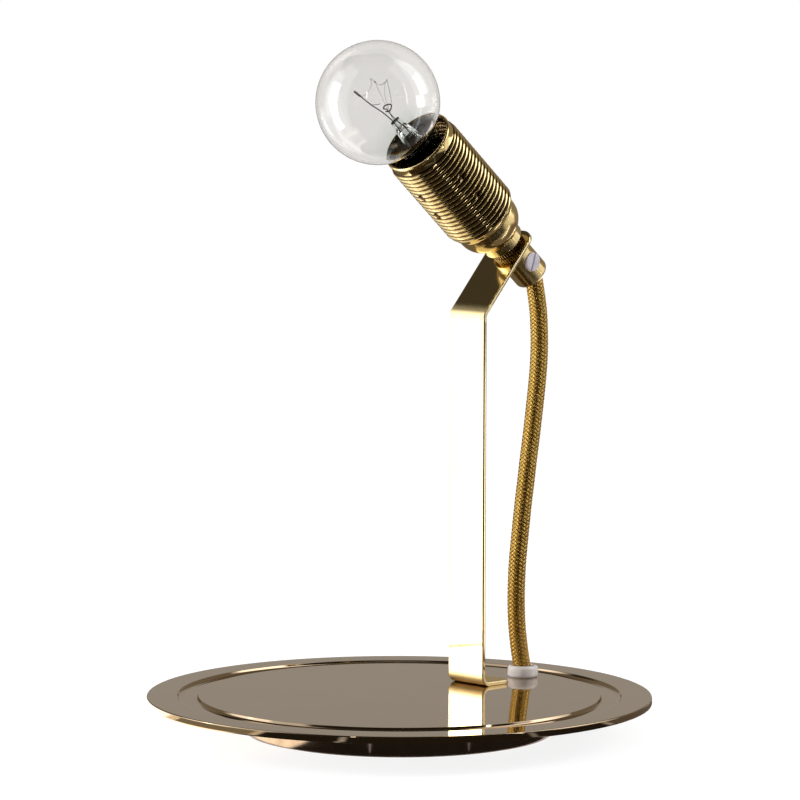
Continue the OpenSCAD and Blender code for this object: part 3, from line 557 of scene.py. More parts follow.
def cord_route():
    """The CAD source's route of the cord, in millimetres."""
    head = [(0, 10.4), (0, 4), (0, -4), (0, -10), (0, -13.6), (-0.2, -16.2), (-0.8, -18.6)]
    hang = [(0.978, 0.9), (0.946, 2.0), (0.911, 2.9), (0.868, 3.5), (0.826, 3.8), (0.783, 3.7),
            (0.741, 3.3), (0.699, 2.7), (0.656, 2.0), (0.614, 1.3), (0.571, 0.5), (0.529, -0.3),
            (0.487, -1.0), (0.444, -1.8), (0.402, -2.5), (0.36, -3.1), (0.317, -3.7),
            (0.275, -4.2), (0.232, -4.4), (0.19, -4.4), (0.148, -4.1), (0.112, -3.6),
            (0.077, -2.8), (0.045, -1.9), (0.018, -1.0)]
    route = [HOLE + Vector((0, up * math.cos(TILT) - out * math.sin(TILT),
                            up * math.sin(TILT) + out * math.cos(TILT))) for up, out in head]
    low = Vector((0, BUSH_Y, PLATE_TOP + 3.4))
    high = route[-1]
    route += [low + share * (high - low) + Vector((0, back, 0)) for share, back in hang]
    route += [Vector((0, BUSH_Y - 0.2, low.z - 0.9)), Vector((0, BUSH_Y, low.z - 3)),
              Vector((0, BUSH_Y, FOOT_TOP)), Vector((0, BUSH_Y, 6.4))]
    return route


def braid(path, radius, strands=8, lead=11.4, width=1.2, height=0.16, lift=0.06):
    """Two sets of strands that wind round a path and pass over and under each other.

    Returns the shape and, for each vertex, its place across and along its strand, and how high it lies.
    """
    rows = []
    length = 0.0
    for i, (point, ahead, _, _) in enumerate(frames_along(path)):
        if i:
            length += (point - path[i - 1]).length
        rows.append((length, point, ahead))
    across_x = Vector((1, 0, 0))
    step = lead / (2 * strands) / SAMPLES_PER_CROSSING
    count = int(length / step)
    cursor = 0
    samples, vertices, faces, marks = [], [], [], []
    for i in range(count + 1):
        s = min(i * step, length)
        while cursor < len(rows) - 2 and rows[cursor + 1][0] < s:
            cursor += 1
        (s0, p0, d0), (s1, p1, d1) = rows[cursor], rows[cursor + 1]
        t = (s - s0) / (s1 - s0)
        ahead = d0.lerp(d1, t).normalized()
        samples.append((s, p0.lerp(p1, t), ahead, across_x, ahead.cross(across_x)))
    half = [(0.22, 0.88), (0.4, 0.52), (0.5, 0.0)]
    section = [(-across, rise) for across, rise in half[::-1]] + [(0.0, 1.0)] + half
    for hand in (1, -1):
        for strand in range(strands):
            start = len(vertices)
            for s, point, ahead, u, v in samples:
                angle = 2 * math.pi * (hand * s / lead + strand / strands)
                wave = hand * math.cos(strands * angle)
                base = radius - height - lift + lift * wave
                outward = math.cos(angle) * u + math.sin(angle) * v
                around = -math.sin(angle) * u + math.cos(angle) * v
                run = (ahead + around * hand * 2 * math.pi * radius / lead).normalized()
                sideways = outward.cross(run).normalized()
                for across, rise in section:
                    vertices.append(point + outward * (base + height * rise) + sideways * (across * width))
                    marks.append((across + 0.5, s, 0.5 + 0.5 * wave))
            n = len(section)
            for i in range(len(samples) - 1):
                for k in range(n - 1):
                    a = start + i * n + k
                    faces.append((a, a + 1, a + 1 + n, a + n))
    return vertices, faces, marks


def add_cord():
    path = smooth_path(cord_route(), 8)
    core = tube(path, CORD_D / 2 - 0.4, 20)
    vertices, faces, marks = braid(path, CORD_D / 2 + 0.15)
    all_vertices, all_faces = join((vertices, faces), core)
    mesh = new_mesh("cord", [Vector(v) * MM for v in all_vertices], all_faces)
    mesh.materials.append(MAT["braid"])
    mesh.materials.append(MAT["braid_core"])
    layer = mesh.uv_layers.new(name="strand")
    lift = mesh.uv_layers.new(name="lift")
    for polygon in mesh.polygons:
        if polygon.index >= len(faces):
            polygon.material_index = 1
        for loop in polygon.loop_indices:
            vertex = mesh.loops[loop].vertex_index
            if vertex < len(marks):
                layer.data[loop].uv = marks[vertex][:2]
                lift.data[loop].uv = (marks[vertex][2], 0)
    mesh.shade_smooth()
    cord = new_object("braided_cord", mesh)
    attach(cord, "lamp")
    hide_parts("cord")


# The base

def add_plate():
    z = PLATE_TOP
    profile = soften([
        (0, FOOT_TOP), (PLATE_R, FOOT_TOP, 0.45), (PLATE_R, z, 0.45),
        (GROOVE_OUT, z, 0.12), (GROOVE_OUT - 0.6, z - 0.85 * GROOVE_DEEP, 0.35),
        (GROOVE_OUT - 2.2, z - GROOVE_DEEP, 0.15), (GROOVE_IN + 1.2, z - GROOVE_DEEP, 0.15),
        (GROOVE_IN + 0.4, z - 0.85 * GROOVE_DEEP, 0.25), (GROOVE_IN, z, 0.12), (0, z)],
        4, closed=False)
    shape = turn(profile, 288, closed=False)
    true_flats(add_piece("round_plate", shape, "brass_mirror", ["base_plate"], sharp=60))


def bend_path():
    """Side view of the strip's front face, as (Y, Z, normal Y, normal Z)."""
    lean = math.pi / 2 - TILT
    run = BEND_R * math.tan(lean / 2)
    z0 = PLATE_TOP
    points = [(POST_Y + FOOT_TAB - d, z0, 0.0, -1.0) for d in (0.0, 1.0, 2.0, FOOT_TAB - BEND_R)]
    for k in range(1, 13):
        a = math.radians(270 - 90 * k / 12)
        points.append((POST_Y + BEND_R + BEND_R * math.cos(a), z0 + BEND_R + BEND_R * math.sin(a),
                       math.cos(a), math.sin(a)))
    top = POST_TOP - run
    for share in (0.25, 0.5, 0.75, 1.0):
        points.append((POST_Y, z0 + BEND_R + share * (top - z0 - BEND_R), -1.0, 0.0))
    for k in range(1, 9):
        a = math.pi - lean * k / 8
        points.append((POST_Y + BEND_R + BEND_R * math.cos(a), top + BEND_R * math.sin(a),
                       math.cos(a), math.sin(a)))
    total = HOLE_UP + TAB_END
    for d in (8.0, 20.0, total - 5.0, total - 4.6, total - 4.0, total - 3.2, total - 2.3,
              total - 1.4, total - 0.7, total - 0.2, total):
        points.append((POST_Y + d * math.cos(TILT), POST_TOP + d * math.sin(TILT),
                       -math.sin(TILT), math.cos(TILT)))
    return points


def add_post():
    """The bent strip: rounded-edge sections along its side view, narrowed at its rounded ends."""
    points = bend_path()
    distances = [0.0]
    for a, b in zip(points, points[1:]):
        distances.append(distances[-1] + math.hypot(b[0] - a[0], b[1] - a[1]))
    length = distances[-1]
    half, edge = POST_W / 2, 0.4
    foot_corner, tab_corner = 2.0, 5.0
    corners = (((1, 0), 270), ((1, 1), 0), ((-1, 1), 90), ((-1, 0), 180))
    vertices, faces = [], []

    def half_width(d):
        width = half
        for corner, away in ((foot_corner, d), (tab_corner, length - d)):
            if away < corner:
                width = min(width, half - corner + math.sqrt(max(0.0, corner**2 - (corner - away) ** 2)))
        return width

    for (y, z, ny, nz), d in zip(points, distances):
        w = half_width(d)
        section = []
        for (x_side, depth_side), start in corners:
            for k in range(4):
                a = math.radians(start + 30 * k)
                section.append((x_side * (w - edge) + edge * math.cos(a),
                                (edge if depth_side == 0 else POST_T - edge) + edge * math.sin(a)))
        ring = len(section)
        for x, depth in section:
            vertices.append((x, y - ny * depth, z - nz * depth))
    for i in range(len(points) - 1):
        for k in range(ring):
            a, b = i * ring + k, i * ring + (k + 1) % ring
            faces.append((a, b, b + ring, a + ring))
    faces.append(tuple(range(ring - 1, -1, -1)))
    faces.append(tuple(range(len(vertices) - ring, len(vertices))))
    post = add_piece("bent_post", (vertices, faces), "brass_mirror", ["strip_post"],
                     material=MAT["post_brass"], sharp=50)
    true_flats(post)


def add_bush():
    z = PLATE_TOP
    profile = soften([
        (BUSH_BORE, 6.7), (4.4, 6.7, 0.2), (4.4, z), (5.2, z, 0.15), (5.6, z + 0.5, 0.4),
        (5.5, z + BUSH_UP, 1.5), (4.25, z + BUSH_UP, 0.25), (BUSH_BORE, z + 2.4, 0.4)], 6)
    add_piece("cord_bush_nylon", turn(profile, 96), "nylon_clear", ["cord_bush"],
              Matrix.Translation((0, BUSH_Y * MM, 0)), sharp=60)


# The head

def add_grip():
    profile = soften([
        (NIPPLE_BORE, -POST_T), (GRIP_R, -POST_T, 0.15), (GRIP_R, GRIP_LOW + 1.1, 0.5),
        (GRIP_R - 1.1, GRIP_LOW, 0.5), (4.3, GRIP_LOW, 0.3), (3.5, -13.5, 0.3), (3.5, -5.3),
        (NIPPLE_BORE, -5.3)], 5)
    grip = add_piece("turned_grip", turn(profile, 128), "brass_holder", ["cord_grip"], HEAD, sharp=45)
    sideways = HEAD @ Matrix.Translation((0, 0, GRIP_SCREW_Z * MM)) @ Matrix.Rotation(math.pi / 2, 4, "Y")
    seat_r = SCREW_HEAD_R + 0.15
    cut(grip, turn([(0, 5.55), (seat_r, 5.55), (seat_r, 12), (0, 12)], 64, closed=False), sideways)
    profile = soften([
        (0, 3.4), (2.5, 3.4, 0.3), (2.5, 5.6), (SCREW_HEAD_R, 5.6, 0.15), (SCREW_HEAD_R, SCREW_TOP, 0.4),
        (0, SCREW_TOP)], 5, closed=False)
    screw = add_piece("slotted_screw", turn(profile, 96, closed=False), "nylon_screw", ["grip_screw"],
                      sideways, body="grip_screw", sharp=45)
    slot = block((-0.42, -5, SCREW_TOP - 0.7), (0.42, 5, 9))
    cut(screw, slot, sideways @ Matrix.Rotation(SLOT_ANGLE, 4, "Z"))
    for piece in (grip, screw):
        bevel(piece, 0.08, 2)
        true_flats(piece)


def add_ring_nut():
    """Fine-toothed ring with chamfered ends."""
    def profile(angle):
        phase = (angle / (2 * math.pi) * NUT_TEETH) % 1.0
        r = NUT_R - TOOTH_DEPTH * (1 - min(1.0, 1.25 * math.sin(math.pi * phase)))
        low, high = 0.05, CAP_Z - 0.05
        inner = NUT_R - TOOTH_DEPTH - 0.1
        return [(NIPPLE_BORE, low), (inner, low), (min(r, inner + 0.15), low + 0.12), (r, low + 0.4),
                (r, high - 0.4), (min(r, inner + 0.15), high - 0.12), (inner, high), (NIPPLE_BORE, high)]

    nut = add_piece("toothed_nut", turn(profile, NUT_TEETH * 8), "brass_holder", ["ring_nut"], HEAD,
                    material=MAT["brass_nut"], body="ring_nut", sharp=40)
    # The rise darkens the valleys between the teeth in the material, as painted shade.
    mark_rise(nut, HEAD, lambda point: (point.xy.length - NUT_R + TOOTH_DEPTH) / TOOTH_DEPTH)


def add_cap():
    """Spun dome with its neck."""
    start = -math.acos((CAP_NECK_R - SHOULDER_X) / SHOULDER_R)
    arc = [(SHOULDER_X + SHOULDER_R * math.cos(a), SHOULDER_Z + SHOULDER_R * math.sin(a))
           for a in [start * (1 - k / 24) for k in range(25)]]
    fillet = [(CAP_NECK_R, 6.1), (CAP_NECK_R + 0.04, 6.35), (CAP_NECK_R + 0.2, 6.6)]
    profile = soften([(NIPPLE_BORE, CAP_Z), (CAP_NECK_R, CAP_Z, 0.25), fillet[0]], 4)
    profile += fillet[1:] + arc[1:]
    profile += soften([arc[-1], (CAP_R, RIM_Z, 0.3), (10.6, RIM_Z, 0.2), (10.6, 13.17), (10.0, 13.17),
                       (10.0, 11.67), (8.5, 8.0), (NIPPLE_BORE, 8.0)], 4)[1:]
    true_flats(add_piece("spun_cap", turn(profile, 192), "brass_holder", ["holder_cap"], HEAD, sharp=40))


def add_shell():
    """Rolled thread as a true helix, inside and out, ending in a plain lip with a rolled edge."""
    root, depth = THREAD_R - 1.0, 0.85
    rows = int((THREAD_TOP - THREAD_LOW) / THREAD_PITCH * 11)

    def ease(t):
        t = max(0.0, min(1.0, t))
        return t * t * (3 - 2 * t)

    def dent(angle, z):
        """Punch marks that hold the insert, in two rows of four."""
        deepest = 0.0
        for mark in PUNCH_ANGLES:
            away = (angle - math.radians(mark) + math.pi) % (2 * math.pi) - math.pi
            for height in PUNCH_HEIGHTS:
                deepest = max(deepest, math.exp(-(away * THREAD_R / 1.1) ** 2 - ((z - height) / 1.9) ** 4))
        return deepest

    def profile(angle):
        outer, inner = [], []
        for i in range(rows + 1):
            z = THREAD_LOW + (THREAD_TOP - THREAD_LOW) * i / rows
            phase = (z - THREAD_LOW) / THREAD_PITCH - angle / (2 * math.pi)
            wave = abs(math.sin(math.pi * phase)) ** 0.9
            wave *= ease((z - THREAD_LOW) / 1.2) * ease((THREAD_TOP - z) / 1.4)
            r = root + depth * (wave - 0.85 * wave * dent(angle, z))
            outer.append((r, z))
            inner.append((r - SHELL_WALL, z))
        lip = [(LIP_R, THREAD_TOP + 0.5), (LIP_R, MOUTH_Z - 1.1)]
        bead = [(LIP_R - SHELL_WALL / 2 + 0.65 * math.cos(a), MOUTH_Z - 0.65 + 0.65 * math.sin(a))
                for a in [math.radians(-30 + 240 * k / 14) for k in range(15)]]
        lip_in = [(LIP_R - SHELL_WALL, MOUTH_Z - 1.1), (LIP_R - SHELL_WALL, THREAD_TOP + 0.5)]
        collar = [(9.7, 14.6), (9.8, 14.5), (10.5, 14.57), (10.55, 16.22), (12.0, 16.22), (12.15, 16.25),
                  (12.5, 16.67), (12.72, 17.0), (12.9, 17.47)]
        collar_in = [(12.05, 17.75), (11.7, 17.2), (9.7, 17.1)]
        return collar + outer + lip + bead + lip_in + inner[::-1] + collar_in

    shell = add_piece("rolled_shell", turn(profile, 216), "brass_holder", ["holder_shell"], HEAD,
                      material=MAT["brass_thread"], sharp=60)
    # The rise darkens the thread's valleys in the material, as painted shade.
    mark_rise(shell, HEAD, lambda point: (point.xy.length - root) / depth
              if THREAD_LOW + 0.8 < point.z < THREAD_TOP - 0.3 else 1.0)
    # The faces that look at the axis take the darkened brass, painted shade inside the holder.
    inner_faces(shell, HEAD, MAT["brass_inside"])
    true_flats(shell)


# The bulb

def glass_side(shrink):
    """Neck, curve and globe as one line that ends on the axis."""
    join_angle = math.atan2(GLOBE_Z - CURVE_Z, CURVE_X)
    side = [(6.1 - shrink, SKIRT_Z - 4), (6.1 - shrink, SKIRT_Z + 0.6), (NECK_R - shrink, SKIRT_TOP - 0.6)]
    for k in range(15):
        a = k * join_angle / 14
        side.append((CURVE_X - (CURVE_R + shrink) * math.cos(a), CURVE_Z + (CURVE_R + shrink) * math.sin(a)))
    for k in range(1, 57):
        a = -join_angle + k * (math.pi / 2 + join_angle) / 56
        side.append(((GLOBE_R - shrink) * math.cos(a), GLOBE_Z + (GLOBE_R - shrink) * math.sin(a)))
    side[-1] = (0, side[-1][1])
    return side


def inside(*points):
    """Points inside the globe, with heights from its centre."""
    return [Vector((x, y, GLOBE_Z + z)) for x, y, z in points]


def add_bulb():
    add_globe()
    add_stem()
    add_lead_wires()
    add_supports()
    add_filament()
    add_bulb_cap()


def add_globe():
    outline = glass_side(0) + glass_side(GLASS_WALL)[::-1]
    add_piece("globe", turn(outline, 160), "glass", ["bulb_glass"], BULB, body="bulb", sharp=60)


def add_stem():
    """Glass flare that rises from the neck to the press, in which the wires are set."""
    height = STEM_TOP - SKIRT_TOP
    stem_side = [(0.75, -0.18), (0.70, 0.0), (0.58, 0.28), (0.44, 0.46), (0.36, 0.65), (0.30, 0.76),
                 (0.22, 0.80), (0.0, 0.81), (0.0, 0.74), (0.18, 0.70), (0.28, 0.62), (0.37, 0.45),
                 (0.51, 0.27), (0.63, -0.02), (0.68, -0.18)]
    flare = [(r * NECK_R, SKIRT_TOP + h * height) for r, h in stem_side]
    flare = [tuple(p.xy) for p in smooth_path([(r, z, 0) for r, z in flare[:7]], 4)] + flare[7:]
    add_piece("stem_flare", turn(flare, 64), "glass", ["bulb_stem"], BULB_INSIDE,
              material=MAT["stem"], body="bulb", sharp=60)
    shape = block((-1.9, -0.75, STEM_TOP - 4.2), (1.9, 0.75, STEM_TOP))
    press = add_piece("stem_press", shape, "glass", place=BULB_INSIDE, material=MAT["stem"], body="bulb")
    bevel(press, 0.6, 3)


def add_lead_wires():
    """Both lead wires, the loop at the second one's end, and the clamp of the first."""
    first = [(-0.9, 0, STEM_TOP - GLOBE_Z - 4.0), (-0.65, 0, -9.2), (-1.2, 0.2, -3.9), (-2.2, 0.5, 0.8),
             (-2.85, 0.9, 5.9), (-3.2, 1.0, 9.1)]
    second = [(0.9, 0, STEM_TOP - GLOBE_Z - 4.0), (0.5, 0, -9.7), (0.55, -0.3, -6.0), (0.75, -0.6, -4.2)]
    knot = [(0.75, -0.6, -4.2), (0.0, -0.8, -2.9), (1.3, -0.8, -2.5), (2.9, -0.9, -3.9),
            (1.2, -0.9, -5.3), (-0.2, -0.8, -4.4)]
    upper = [(2.8, -1.0, -4.05), (4.15, -1.2, -2.1), (5.7, -1.3, 0.8), (7.75, -1.5, 5.2)]
    clamp = [(-2.9, 0.85, 6.4), (-3.25, 1.0, 9.4)]
    branch = [(-2.15, 0.5, 0.75), (-0.8, 0.4, -0.5), (0.3, 0.3, -1.2)]
    half_gap, low = 1.2, 33.2
    add_piece("lead_wires", join(
        tube([(-half_gap, 0, low), (-half_gap, 0, SKIRT_TOP), *smooth_path(inside(*first), 6)], 0.22),
        tube([(half_gap, 0, low), (half_gap, 0, SKIRT_TOP), *smooth_path(inside(*second), 6)], 0.2),
        tube(smooth_path(inside(*knot), 6), 0.24), tube(smooth_path(inside(*upper), 8), 0.075, 8),
        tube(inside(*clamp), 0.42, 12), tube(inside(*branch), 0.11, 8)),
        "wire", ["bulb_leads"], BULB_INSIDE, body="bulb", sharp=60)


def add_supports():
    """Two fine wires from the press that hold the filament with hooks."""
    tops = inside((4.2, 1.0, 6.2), (6.4, -1.2, 4.55))
    middles = inside((2.2, 0.8, -0.6), (3.5, 0.2, 0.0))
    hooks = []
    for top, middle in zip(tops, middles):
        hook = [top + Vector((0.3 * math.cos(a), 0.1, 0.3 * math.sin(a)))
                for a in [math.radians(-90 + 45 * k) for k in range(8)]]
        wire = [(0, 0, STEM_TOP - 0.5), (0.1, 0, STEM_TOP + 1.5), middle, *hook]
        hooks.append(tube(smooth_path(wire, 5), 0.05, 8))
    add_piece("supports", join(*hooks), "wire", ["bulb_supports"], BULB_INSIDE, body="bulb", sharp=60)


def add_filament():
    """Coiled wire from lead to lead over the hooks."""
    coil_r, turn_length = 0.14, 0.34
    line = smooth_path(inside((7.75, -1.5, 5.2), (6.4, -1.2, 4.55), (4.7, 0, 4.8), (4.2, 1.0, 6.2),
                              (3.85, 1.6, 8.2), (2.85, 1.6, 6.3), (-0.8, 1.3, 4.8), (-2.75, 0.95, 6.0)), 40)
    coil = []
    along = 0.0
    for i, (point, _, side, other) in enumerate(frames_along(line)):
        if i:
            along += (point - line[i - 1]).length
        a = 2 * math.pi * along / turn_length
        coil.append(point + coil_r * (math.cos(a) * side + math.sin(a) * other))
    add_piece("filament", tube(coil, 0.045, 6), "wire", ["bulb_filament"], BULB_INSIDE,
              material=MAT["tungsten"], body="bulb", sharp=60)


def add_bulb_cap():
    """Rolled screw cap with its skirt, as a true helix."""
    pitch, rows = 2.82, 60
    low = BULB_CAP_LOW

    def profile(angle):
        outer, inner = [], []
        for i in range(rows + 1):
            z = low + 0.4 + (SKIRT_Z - low - 1.4) * i / rows
            wave = math.cos(2 * math.pi * ((z - low) / pitch) - angle)
            outer.append((6.55 + 0.35 * wave, z))
            inner.append((6.15 + 0.35 * wave, z))
        skirt = [(6.6, SKIRT_Z), (8.5, SKIRT_TOP - 1.2), (8.5, SKIRT_TOP)]
        skirt_in = [(8.15, SKIRT_TOP), (8.15, SKIRT_TOP - 1.2), (6.15, SKIRT_Z)]
        return [(5.9, low), (6.4, low)] + outer + skirt + skirt_in + inner[::-1]

    cap = add_piece("screw_cap", turn(profile, 96), "cap_metal", ["bulb_cap"], BULB, body="bulb", sharp=60)
    inner_faces(cap, BULB, MAT["cement"])


def finish_cad_nodes():
    """Gives each CAD node that stays its material, by the record's slots."""
    for part in frame["record"]["subparts"]:
        node = nodes[part["node"]]
        node.data.materials.clear()
        node.data.materials.append(MAT[part["material_slot"]])


# Studio

# The floor's cards begin beside the foot, and lie over one another in the order of their heights
FOOT_R = 0.057


def seen_directly(tree):
    """1 for what the camera, metal and glass see, and 0 for what lights other surfaces."""
    path = tree.nodes.new("ShaderNodeLightPath")
    seen = path.outputs["Is Camera Ray"]
    for kind in ("Is Glossy Ray", "Is Transmission Ray"):
        either = tree.nodes.new("ShaderNodeMath")
        either.operation = "MAXIMUM"
        tree.links.new(seen, either.inputs[0])
        tree.links.new(path.outputs[kind], either.inputs[1])
        seen = either.outputs[0]
    return seen


def add_world():
    """White to the eye, to metal and through glass; a plainer light on everything else."""
    world = bpy.data.worlds.new("studio")
    world.use_nodes = True
    tree = world.node_tree
    background = tree.nodes["Background"]
    mix = tree.nodes.new("ShaderNodeMix")
    mix.data_type = "RGBA"
    tree.links.new(seen_directly(tree), mix.inputs[0])
    mix.inputs[6].default_value = (0.45, 0.45, 0.46, 1)
    mix.inputs[7].default_value = (1, 1, 1, 1)
    tree.links.new(mix.outputs[2], background.inputs["Color"])
    bpy.context.scene.world = world


def add_floor():
    """Pale floor that keeps a faint shadow of the lamp."""
    size = 6.0
    corners = [(-size, -size, 0), (size, -size, 0), (size, size, 0), (-size, size, 0)]
    floor = new_object("floor", new_mesh("floor", corners, [(0, 1, 2, 3)]))
    s = Surface("floor")
    pale = s.node("ShaderNodeBsdfDiffuse", {"Color": (0.8, 0.8, 0.8, 1)})
    shaded = s.node("ShaderNodeBsdfDiffuse", {"Color": (0.3, 0.3, 0.3, 1)})
    glow = s.node("ShaderNodeEmission", {"Strength": 0.87})
    shown = s.node("ShaderNodeAddShader", {0: shaded.outputs[0], 1: glow.outputs[0]})
    mix = s.node("ShaderNodeMixShader", {0: seen_directly(s.tree), 1: pale.outputs[0], 2: shown.outputs[0]})
    s.show(mix.outputs[0])
    floor.data.materials.append(s.material)


def add_softbox(name, direction, distance, width, height, radiance):
    """Area lamp that faces the lamp, given by how bright its face is."""
    lamp = bpy.data.lights.new(name, "AREA")
    lamp.shape = "RECTANGLE"
    lamp.size, lamp.size_y = width, height
    lamp.energy = radiance * math.pi * width * height
    made = new_object(name, lamp)
    towards = Vector(direction).normalized()
    made.location = Vector((0, 0, 0.13)) + towards * distance
    made.rotation_euler = towards.to_track_quat("Z", "Y").to_euler()
    made.visible_glossy = False


def add_card(name, place, colour, strength=1.0, soft=(0.1, 0.1, 0.1, 0.1), through=False, steps=24):
    """Soft-edged card that only polished surfaces see, as they see a photographer's flags and reflectors.

    place(u, v) gives its points. soft is the share that fades at the start and end of u, then of v.
    A card with through also shows in the inner side of clear glass.
    """
    vertices = [place(i / steps, k / steps) for i in range(steps + 1) for k in range(steps + 1)]
    faces = [(a, a + steps + 1, a + steps + 2, a + 1)
             for a in (i * (steps + 1) + k for i in range(steps) for k in range(steps))]
    mesh = new_mesh(name, vertices, faces)
    layer = mesh.uv_layers.new(name="card")
    for loop in mesh.loops:
        row, column = divmod(loop.vertex_index, steps + 1)
        layer.data[loop.index].uv = (row / steps, column / steps)
    card = new_object(name, mesh)
    s = Surface(name)
    across = s.node("ShaderNodeUVMap", uv_map="card").outputs[0]
    mask = None
    for share, value, sign in zip(soft, (0, 0, 1, 1), (1, -1, 1, -1)):
        if share:
            start, end = (0, share) if sign > 0 else (1, 1 - share)
            settings = {"Value": s.part(across, value), "From Min": start, "From Max": end}
            fade = s.node("ShaderNodeMapRange", settings, interpolation_type="SMOOTHSTEP").outputs[0]
            mask = s.math("MULTIPLY", mask, fade) if mask else fade
    glow = s.node("ShaderNodeEmission", {"Color": (*colour, 1), "Strength": strength})
    clear = s.node("ShaderNodeBsdfTransparent")
    mix = s.node("ShaderNodeMixShader", {0: mask or 1.0, 1: clear.outputs[0], 2: glow.outputs[0]})
    s.show(mix.outputs[0])
    mesh.materials.append(s.material)
    for ray in ("camera", "diffuse", "volume_scatter", "shadow"):
        setattr(card, "visible_" + ray, False)
    card.visible_transmission = through


def heading(azimuth, elevation=0.0):
    """Unit vector of a direction in degrees. Azimuth 0 is +X, 90 is +Y."""
    azimuth, elevation = math.radians(azimuth), math.radians(elevation)
    return Vector((math.cos(azimuth) * math.cos(elevation), math.sin(azimuth) * math.cos(elevation),
                   math.sin(elevation)))


def sky_card(name, azimuths, elevations, colour, strength=1.0, soft=(0.1, 0.1, 0.1, 0.1), distance=2.2,
             centre=(0, 0, 0.2), through=False):
    """Card on a big sphere round the lamp, from one azimuth and elevation to another, in degrees."""
    def place(u, v):
        azimuth = azimuths[0] + u * (azimuths[1] - azimuths[0])
        elevation = elevations[0] + v * (elevations[1] - elevations[0])
        return Vector(centre) + distance * heading(azimuth, elevation)
    add_card(name, place, colour, strength, soft, through)


def floor_card(name, azimuths, radii, colour, strength=1.0, soft=(0.1, 0.1, 0, 0.2), height=0.0004,
               centre=(0, 0), through=False):
    """Card on the floor, a sector of a ring round the lamp."""
    def place(u, v):
        radius = radii[0] * (radii[1] / radii[0]) ** v
        return Vector((*centre, height)) + radius * heading(azimuths[0] + u * (azimuths[1] - azimuths[0]))
    add_card(name, place, colour, strength, soft, through)


def floor_strip(name, azimuth, width, reach, colour, strength, start, height):
    """Card of one width on the floor that runs one way from a point."""
    along, across = heading(azimuth), heading(azimuth + 90)

    def place(u, v):
        ahead = reach[0] + v * (reach[1] - reach[0])
        return Vector((*start, height)) + (u - 0.5) * width * across + ahead * along
    add_card(name, place, colour, strength, (0.15, 0.15, 0, 0.1))


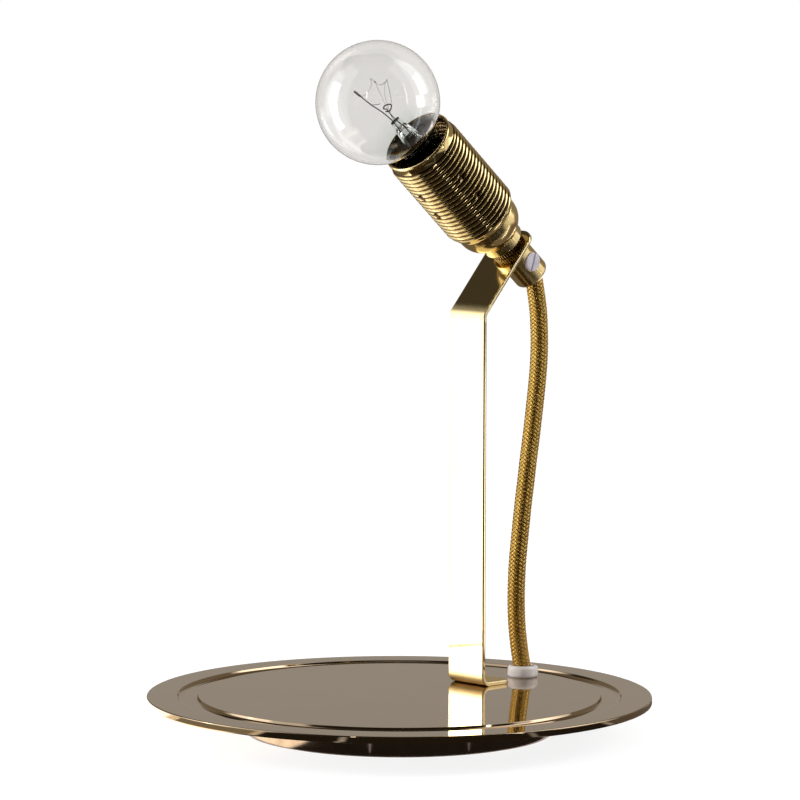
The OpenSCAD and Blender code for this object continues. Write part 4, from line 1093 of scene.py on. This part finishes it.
def add_studio():
    add_world()
    add_floor()
    window = 8.5
    add_softbox("left_window", (-0.70, -0.71, 0.15), 1.3, 0.5, 1.0, window)
    add_softbox("right_window", (0.51, 0.72, 0.456), 1.3, 0.4, 0.6, window)
    dark, dusk, dim, white = (0.026, 0.021, 0.015), (0.05, 0.042, 0.03), (0.16, 0.13, 0.10), (1, 1, 1)
    # Overhead and round the camera the room is dark, behind the lamp it is dim
    sky_card("dark_ceiling", (-180, 180), (52, 90), dusk, soft=(0, 0, 0.3, 0), distance=2.5,
             through=True)
    sky_card("dim_room", (70, 207), (-5, 64), (0.25, 0.215, 0.16), soft=(0.03, 0.03, 0, 0.1), distance=2.4)
    sky_card("dark_high_left", (176, 214), (12, 62), dusk, soft=(0.2, 0, 0.2, 0), distance=2.3,
             through=True)
    sky_card("dark_room", (-104, 34), (-5, 62), dark, soft=(0.06, 0.06, 0, 0.1), through=True)
    floor_card("dark_table", (-103, 37), (0.26, 3.5), dark, soft=(0.04, 0.04, 0.03, 0), height=0.0001,
               through=True)
    floor_card("dark_foreground", (-92, 37), (FOOT_R, 0.3), dark, soft=(0.03, 0.04, 0, 0.1),
               height=0.0002, through=True)
    floor_card("dim_table", (34, 184), (FOOT_R, 3.0), dim, soft=(0.04, 0.05, 0, 0.1), height=0.0003)
    floor_card("dim_near", (34, 110), (FOOT_R, 0.28), dim, soft=(0.04, 0.1, 0, 0.1), height=0.00035,
               through=True)
    # A bright patch of it, which the globe shows at both sides of its neck
    floor_card("bright_table", (90, 128), (0.28, 0.95), (1.0, 0.95, 0.97), 2.5, soft=(0.15, 0.15, 0.15, 0.15),
               height=0.0004, through=True)
    # The wall that the plate mirrors
    sky_card("grey_wall", (122, 153), (-1, 15), (0.40, 0.37, 0.322), soft=(0.1, 0.1, 0, 0.1),
             centre=(0, 0, 0.014))
    # Windows, and the table that they light
    sky_card("left_panel", (196, 238), (-5.4, 46), white, 2.2, soft=(0.45, 0.12, 0, 0.2), distance=2.1,
             through=True)
    sky_card("left_strip", (219, 227), (-5, 14), white, 8.0, soft=(0.3, 0.3, 0.15, 0.3), distance=1.3,
             centre=(0, 0, 0.24))
    sky_card("right_panel", (38, 72), (5, 72), white, 3.0, soft=(0.15, 0.15, 0.15, 0.2), distance=1.3,
             centre=(0, 0, 0.24))
    floor_card("near_table", (186, 272), (FOOT_R, 0.27), (1.0, 0.88, 0.66), 2.5, soft=(0.1, 0.06, 0, 0.15),
               height=0.0004)
    rims = (("rim_table_left", (186, 232), 1.3), ("rim_table_front", (226, 272), 0.35))
    for name, azimuths, strength in rims:
        floor_card(name, azimuths, (0.115, 0.2), (1.0, 0.9, 0.66), strength, soft=(0.12, 0.12, 0.1, 0.2),
                   height=0.00045)
    floor_card("mid_table", (190, 242), (0.24, 0.8), white, 0.85, soft=(0.2, 0.1, 0, 0.1), height=0.0005)
    floor_card("far_table", (204, 242), (0.75, 3.0), white, 2.6, soft=(0.1, 0.1, 0.1, 0), height=0.0006)
    floor_strip("post_table", 223, 0.07, (0.06, 1.2), white, 2.6, (0, POST_Y * MM), height=0.0008)
    floor_card("bright_behind", (40.5, 46.5), (0.15, 2.0), white, 2.6, soft=(0.15, 0.15, 0.1, 0.2),
               height=0.0007, centre=(0.009, 0.033))
    # Two small lamps towards the camera, and their gleam on the foot
    sky_card("front_spot", (295.2, 297.8), (9, 23), white, 12.0, soft=(0.3, 0.3, 0.2, 0.2), distance=1.9)
    sky_card("right_spot", (10.5, 14.5), (-3, 36), white, 6.0, soft=(0.3, 0.3, 0.2, 0.2), distance=1.9)
    gleams = (("front_gleam", 295.4, (0.0328, -0.0448), 0.6), ("right_gleam", 10.8, (0.0533, -0.0154), 0.35))
    for name, azimuth, centre, strength in gleams:
        floor_card(name, (azimuth - 3, azimuth + 3), (0.004, 0.3), white, strength,
                   soft=(0.45, 0.45, 0, 0.3), height=0.0009, centre=centre)


bpy.context.scene.view_settings.view_transform = "Standard"
add_camera()
add_cord()
finish_cad_nodes()
add_plate()
add_post()
add_bush()
add_grip()
add_ring_nut()
add_cap()
add_shell()
add_bulb()
add_studio()
